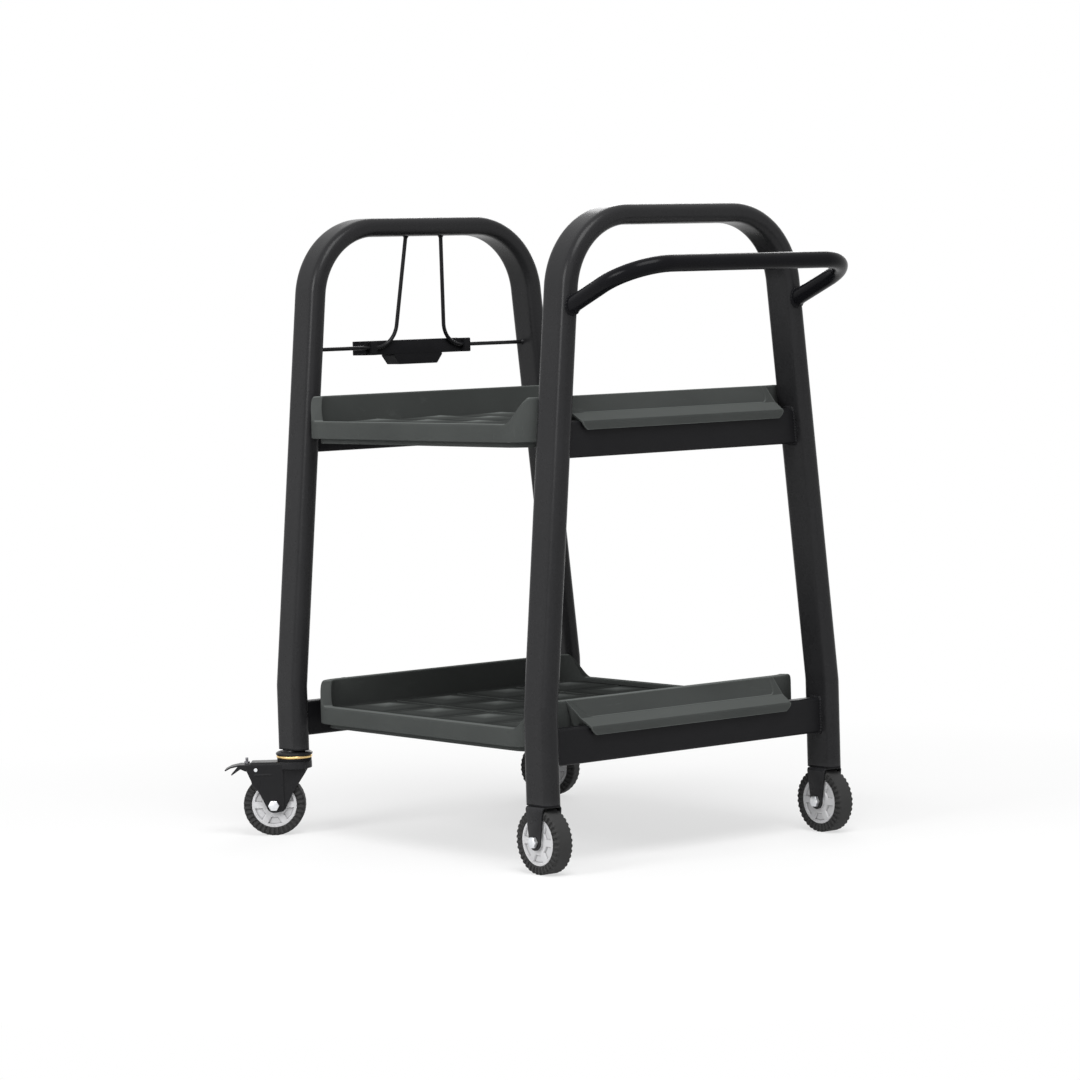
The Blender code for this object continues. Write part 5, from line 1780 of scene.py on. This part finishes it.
@dataclass
class SwivelCastor:
    """A castor that turns about its stem under a front leg: cap, race, seal, pressed fork and brake."""

    side: Side
    turn: float
    crown: float = 0.1204
    sheet: float = 0.0025
    gap: float = 0.0370
    trail: float = 0.0340
    plate_low: float = 0.0382
    foot: float = 0.0120
    step: float = 0.0022
    step_at: float = 0.0170
    step_wide: float = 0.0024
    step_fade: float = 0.0060
    crown_fade: float = 0.0040
    rib: float = 0.0011
    rib_height: float = 0.1003
    rib_start: float = 0.0350
    rib_stop: float = 0.0650
    rib_end: float = 0.0020
    cup: float = 0.0570
    cup_tall: float = 0.0115
    cup_hole: float = 0.0210
    stem: float = 0.0120
    cap: float = 0.0605
    neck: float = 0.0380
    race: float = 0.0580
    seal: float = 0.0560
    seal_tall: float = 0.0040
    race_seat: float = 0.0032
    race_room: float = 0.0060
    race_lift: float = 0.0015
    race_tall: float = 0.0045
    cap_tall: float = 0.0057
    stem_rise: float = 0.0500
    pin_trail: float = 0.0617
    pin_height: float = 0.1087
    pedal_width: float = 0.0330
    screw_trail: float = 0.0158
    screw_rise: float = 0.0078
    bend: float = 0.0048

    @property
    def name(self) -> str:
        """The words that the castor's pieces' names start with."""
        return "front_" + self.side.value

    @property
    def place(self) -> Place:
        """The floor under the stem, with the castor's turn."""
        return leg_place(End.FRONT, self.side, self.turn)

    def plate_edges(self, height: Array) -> tuple[Array, Array]:
        """The plate's leading and trailing edges at a height, straight between measured points.

        Args:
            height: heights on the plate.

        Returns:
            How far each edge lies behind the stem at each height.
        """
        toe = np.array([(0.0381, 0.0330), (0.0385, 0.0230), (0.0420, 0.0165), (0.0514, 0.0118),
                        (0.0711, 0.0020), (0.0834, -0.0062), (0.0956, -0.0144), (0.1050, -0.0200),
                        (0.1204, -0.0200)])
        turn = np.radians(np.linspace(-88.0, -15.0, 9))
        heel = np.stack([WHEEL_RADIUS + self.foot * np.sin(turn), self.trail + self.foot * np.cos(turn)], 1)
        upper = [(0.0612, 0.0525), (0.0725, 0.0580), (0.0830, 0.0680), (0.0910, 0.0700), (0.1060, 0.0765),
                 (0.1135, 0.0745), (0.1204, 0.0690)]
        heel = np.concatenate([heel, upper])
        return np.interp(height, toe[:, 0], toe[:, 1]), np.interp(height, heel[:, 0], heel[:, 1])

    def fork_sheet(self) -> tuple[Array, Array]:
        """Outer and inner grids of the pressed sheet: one plate, over the crown, and the other plate.

        The plates' leading part is pressed inwards by a smooth step along the trail, and a rib is
        raised below the pedal's pin as a narrow bell in height with soft ends.

        Returns:
            The two grids of points.
        """
        middle = self.gap / 2 + self.sheet / 2
        crown = self.crown - self.sheet / 2
        corners = [(-middle, self.plate_low), (-middle, crown), (middle, crown), (middle, self.plate_low)]
        path = refine(rounded_path(corners, [self.bend] * 2, 10), 0.0013)
        first, last = self.plate_edges(np.minimum(path[:, 1], self.crown))
        share = np.linspace(0.0, 1.0, 56)
        x = first[:, None] + (last - first)[:, None] * share
        height = path[:, 1:]
        plate = ease((crown - self.crown_fade - height) / self.crown_fade)
        leading = ease((self.step_at + self.step_wide / 2 - x) / self.step_wide)
        pressed = self.step * leading * ease((crown - self.step_fade - height) / self.step_fade)
        bell = self.rib * np.exp(-((height - self.rib_height) / self.rib) ** 2)
        rib = bell * ease((x - self.rib_start) / self.rib_end) * ease((self.rib_stop - x) / self.rib_end)
        out = (rib * plate - pressed)[..., None]
        normal = line_normals(path)[:, None]
        grids = []
        for offset in (self.sheet / 2, -self.sheet / 2):
            spot = path[:, None] + normal * (out + offset)
            grids.append(Axis.X.place(spot[..., 0], spot[..., 1], x))
        return grids[0], grids[1]

    def build_fork(self) -> None:
        """The pressed sheet and the cup of the swivel bearing below the crown."""
        form = Form().slab(*self.fork_sheet())
        radius, hole, inner = self.cup / 2, self.cup_hole / 2, self.sheet
        low, high = self.crown - self.cup_tall, self.crown
        cup = rounded_outline([
            (radius - inner, low), (radius, low), (radius, high), (hole, high), (hole, high - inner),
            (radius - inner, high - inner)], 0.0010, 4)
        form.turned(cup, 72)
        name = self.name + "_fork"
        seat = Seat(self.name + "_swivel", Finishes.fork, (name,), self.place, bevel=0.0004)
        fit(form, name + "_pressing", seat)

    def build_bearing(self) -> None:
        """The stem with its cap, the yellow race under it, and the seal ring on the fork."""
        name, fixed = self.name, leg_place(End.FRONT, self.side)
        seal_base = self.crown + SEAT_GAP
        cap_base = seal_base + self.race_seat + self.race_room + SEAT_GAP
        seat = Seat("frame", Finishes.fork, (name + "_stem",), fixed)
        fit(Form().turned(self.stem_line(cap_base), 80, bored=False), name + "_stem_cap", seat)
        hole, radius = self.stem / 2 + SEAT_GAP, self.race / 2
        low = seal_base + self.race_seat + self.race_lift
        high = low + self.race_tall
        race = rounded_outline([(hole, low), (radius - 0.0012, low), (radius, low + 0.0014),
                                (radius, high - 0.0010), (radius - 0.0008, high), (hole, high)], 0.0006, 4)
        seat = Seat("frame", Finishes.gold, (name + "_swivel_race",), fixed)
        fit(Form().turned(race, 96), name + "_race_ring", seat)
        hole, radius, high = self.stem / 2 + 0.0010, self.seal / 2, seal_base + self.seal_tall
        seal = rounded_outline([(hole, seal_base), (radius, seal_base), (radius, high), (hole, high)],
                               0.0007, 4)
        seat = Seat(name + "_swivel", Finishes.plastic, (name + "_seal_ring",), self.place)
        fit(Form().turned(seal, 96), name + "_seal_lip", seat)

    def stem_line(self, cap_base: float) -> Array:
        """Half of the stem's outline from its foot on the axis, round the domed cap, to its top.

        Args:
            cap_base: the height of the cap's lower side.

        Returns:
            The outline as (radius, height) points.
        """
        neck_base = cap_base + self.cap_tall
        stem, cap, neck = self.stem / 2, self.cap / 2, self.neck / 2
        low, high = self.crown - self.sheet - 0.0040, neck_base + self.stem_rise
        return rounded_path([
            (0.0, low), (stem, low), (stem, cap_base), (cap - 0.0010, cap_base), (cap, cap_base + 0.0032),
            (cap - 0.0035, neck_base), (neck + 0.0006, neck_base), (neck, neck_base + 0.0025),
            (stem, neck_base + 0.0025), (stem, high), (0.0, high)],
            [0.0005, 0.0, 0.0008, 0.0014, 0.0020, 0.0006, 0.0005, 0.0, 0.0008], 5)

    def build_brake(self) -> None:
        """The two-pronged pedal with its lobe, and its adjusting screw.

        The pedal's outline is given from its pin, as shares of the wheel's diameter.
        """
        name, body = self.name, self.name + "_pedal"
        shares = np.array([
            (-0.100, 0.045), (-0.040, 0.078), (0.185, 0.078), (0.270, 0.082), (0.420, 0.052),
            (0.515, 0.003), (0.503, -0.016), (0.412, 0.030), (0.300, 0.052), (0.412, -0.073),
            (0.400, -0.087), (0.255, 0.010), (0.190, -0.020), (0.090, -0.050), (0.050, -0.135),
            (0.010, -0.145), (-0.030, -0.090), (-0.090, -0.025)])
        outline = shares * 2 * WHEEL_RADIUS + np.array([self.pin_trail, self.pin_height])
        form = Form().prism(outline, -self.pedal_width / 2, self.pedal_width / 2, Axis.Y)
        seat = Seat(body, Finishes.fork, (name + "_brake_pedal",), self.place, bevel=0.0006)
        fit(form, name + "_brake_lever", seat)
        base = self.pin_height + self.screw_rise + 2 * SEAT_GAP
        AdjustingScrew(name, body, self.place, self.pin_trail + self.screw_trail, base).build()

    def build(self) -> None:
        """Everything below the leg's plug."""
        name, half = self.name, self.gap / 2 + self.sheet
        self.build_bearing()
        self.build_fork()
        Wheel(name, name + "_wheel", self.place, self.trail).build()
        Axle(name, name + "_swivel", self.place, half, 1, self.trail).build()
        self.build_brake()
        keep([name + "_axle_bush", name + "_pedal_pin"], Finishes.zinc)


# ---------------------------------------------------------------- studio


@dataclass(frozen=True)
class Lamp:
    """A soft square lamp aimed at the cart's middle: its place over the floor, its size and its watts."""

    name: str
    spot: Triple
    size: float
    power: float

    def build(self, aim_height: float) -> None:
        """Put the lamp in its place and turn it.

        Args:
            aim_height: the height of the point that it is turned to.
        """
        data = bpy.data.lights.new(self.name, "AREA")
        data.shape = "SQUARE"
        data.size = self.size
        data.energy = self.power
        lamp = bpy.data.objects.new(self.name, data)
        lamp.location = Vector(self.spot) + Vector((MIDDLE.x, MIDDLE.y, 0.0))
        aim = Vector((MIDDLE.x, MIDDLE.y, aim_height)) - lamp.location
        lamp.rotation_euler = aim.to_track_quat("-Z", "Y").to_euler()
        bpy.context.scene.collection.objects.link(lamp)


@dataclass
class Studio:
    """A pale floor, a white surround, soft lamps and the camera at the photograph's angle."""

    azimuth: float = math.radians(-38.70)
    elevation: float = math.radians(3.80)
    roll: float = math.radians(-1.70)
    distance: float = 6.0465
    focal: float = 3773.18
    image: float = 1080.0
    across: float = -0.01536
    height: float = 0.47258
    sensor: float = 36.0
    floor_size: float = 60.0
    floor_grey: float = 0.86
    near_glow: float = 0.62
    fade: tuple[float, float] = (0.45, 1.6)
    ambient: float = 0.38
    aim: float = 0.5
    lamps: tuple[Lamp, ...] = (
        Lamp("key_lamp", (-3.6, -0.2, 2.0), 1.5, 80.0),
        Lamp("top_lamp", (-0.9, -1.9, 3.5), 2.0, 112.0),
        Lamp("fill_lamp", (2.8, 2.6, 2.0), 2.0, 42.0))

    def build_camera(self) -> None:
        """The fitted camera: it looks back along its own direction to a point near the cart's middle."""
        sin_a, cos_a = math.sin(self.azimuth), math.cos(self.azimuth)
        sin_e, cos_e = math.sin(self.elevation), math.cos(self.elevation)
        back = Vector((sin_a * cos_e, -cos_a * cos_e, sin_e))
        right = Vector((cos_a, sin_a, 0.0))
        up = back.cross(right)
        target = right * self.across + Vector((MIDDLE.x, MIDDLE.y, self.height))
        cos_r, sin_r = math.cos(self.roll), math.sin(self.roll)
        turned, raised = right * cos_r + up * sin_r, up * cos_r - right * sin_r
        data = bpy.data.cameras.new("photograph")
        data.sensor_width = self.sensor
        data.lens = self.focal * self.sensor / self.image
        data.clip_end = 100.0
        camera = bpy.data.objects.new("photograph", data)
        matrix = Matrix((turned, raised, back)).transposed().to_4x4()
        matrix.translation = target + back * self.distance
        camera.matrix_world = matrix
        bpy.context.scene.collection.objects.link(camera)
        bpy.context.scene.camera = camera

    def build_world(self) -> None:
        """White to the camera and to reflections, and an even pale light for the rest."""
        world = bpy.data.worlds.new("surround")
        world.use_nodes = True
        graph = Graph(world.node_tree)
        shown, light = graph.tree.nodes["Background"], graph.node("ShaderNodeBackground")
        for item, strength in ((shown, 1.0), (light, self.ambient)):
            item.inputs["Color"].default_value = (1.0, 1.0, 1.0, 1.0)
            item.inputs["Strength"].default_value = strength
        graph.mix(graph.shown(), light, shown, graph.tree.nodes["World Output"].inputs["Surface"])
        bpy.context.scene.world = world

    def build_floor(self) -> None:
        """A pale floor that takes the shadow near the cart and turns white further out."""
        mesh = bpy.data.meshes.new("floor")
        half = self.floor_size / 2
        corners = [(-half, -half, 0.0), (half, -half, 0.0), (half, half, 0.0), (-half, half, 0.0)]
        mesh.from_pydata(corners, [], [(0, 1, 2, 3)])
        floor = bpy.data.objects.new("floor", mesh)
        bpy.context.scene.collection.objects.link(floor)
        material = bpy.data.materials.new("pale_floor")
        material.use_nodes = True
        graph = Graph(material.node_tree)
        shader, glow = graph.tree.nodes["Principled BSDF"], graph.node("ShaderNodeEmission")
        grey = (self.floor_grey, self.floor_grey, self.floor_grey, 1.0)
        for key, value in (("Base Color", grey), ("Roughness", 0.9), ("Specular IOR Level", 0.0)):
            shader.inputs[key].default_value = value
        glow.inputs["Strength"].default_value = 1.0
        reach = graph.node("ShaderNodeVectorMath", operation="LENGTH")
        graph.link(graph.node("ShaderNodeTexCoord").outputs["Object"], reach.inputs[0])
        share = graph.spread(reach.outputs["Value"], *self.fade, self.near_glow, 1.0)
        share = graph.math("MULTIPLY", share, graph.shown())
        graph.mix(share, shader, glow, graph.tree.nodes["Material Output"].inputs["Surface"])
        mesh.materials.append(material)

    def build(self) -> None:
        """Camera, surround, floor and lamps, at a plain exposure."""
        bpy.context.scene.view_settings.view_transform = "Standard"
        self.build_camera()
        self.build_world()
        self.build_floor()
        for lamp in self.lamps:
            lamp.build(self.aim)


def middle_of_legs() -> Vector:
    """The point on the floor midway between the two arches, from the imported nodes' boxes.

    Returns:
        The point.
    """
    corners = [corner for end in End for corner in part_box(end.value + "_arch")]
    total = sum(corners, Vector((0.0, 0.0, 0.0))) / 4
    return Vector((total.x, total.y, 0.0))


def main() -> None:
    """Build the studio, then every sub-assembly of the cart in order."""
    logging.basicConfig(level=logging.INFO, format="%(name)s: %(message)s")
    Studio().build()
    Arch(End.REAR, foot=0.1059).build()
    Arch(End.FRONT, foot=0.1410).build()
    PushHandle().build()
    for level in Level:
        Tray(level).build()
    Holder().build()
    for side, turn in ((Side.LEFT, 140.0), (Side.RIGHT, 118.0)):
        LegPlug(End.REAR, side, base=0.1036).build()
        LegPlug(End.FRONT, side, base=0.1387).build()
        FixedCastor(side).build()
        SwivelCastor(side, math.radians(turn)).build()


MIDDLE = middle_of_legs()

if __name__ == "__main__":
    main()
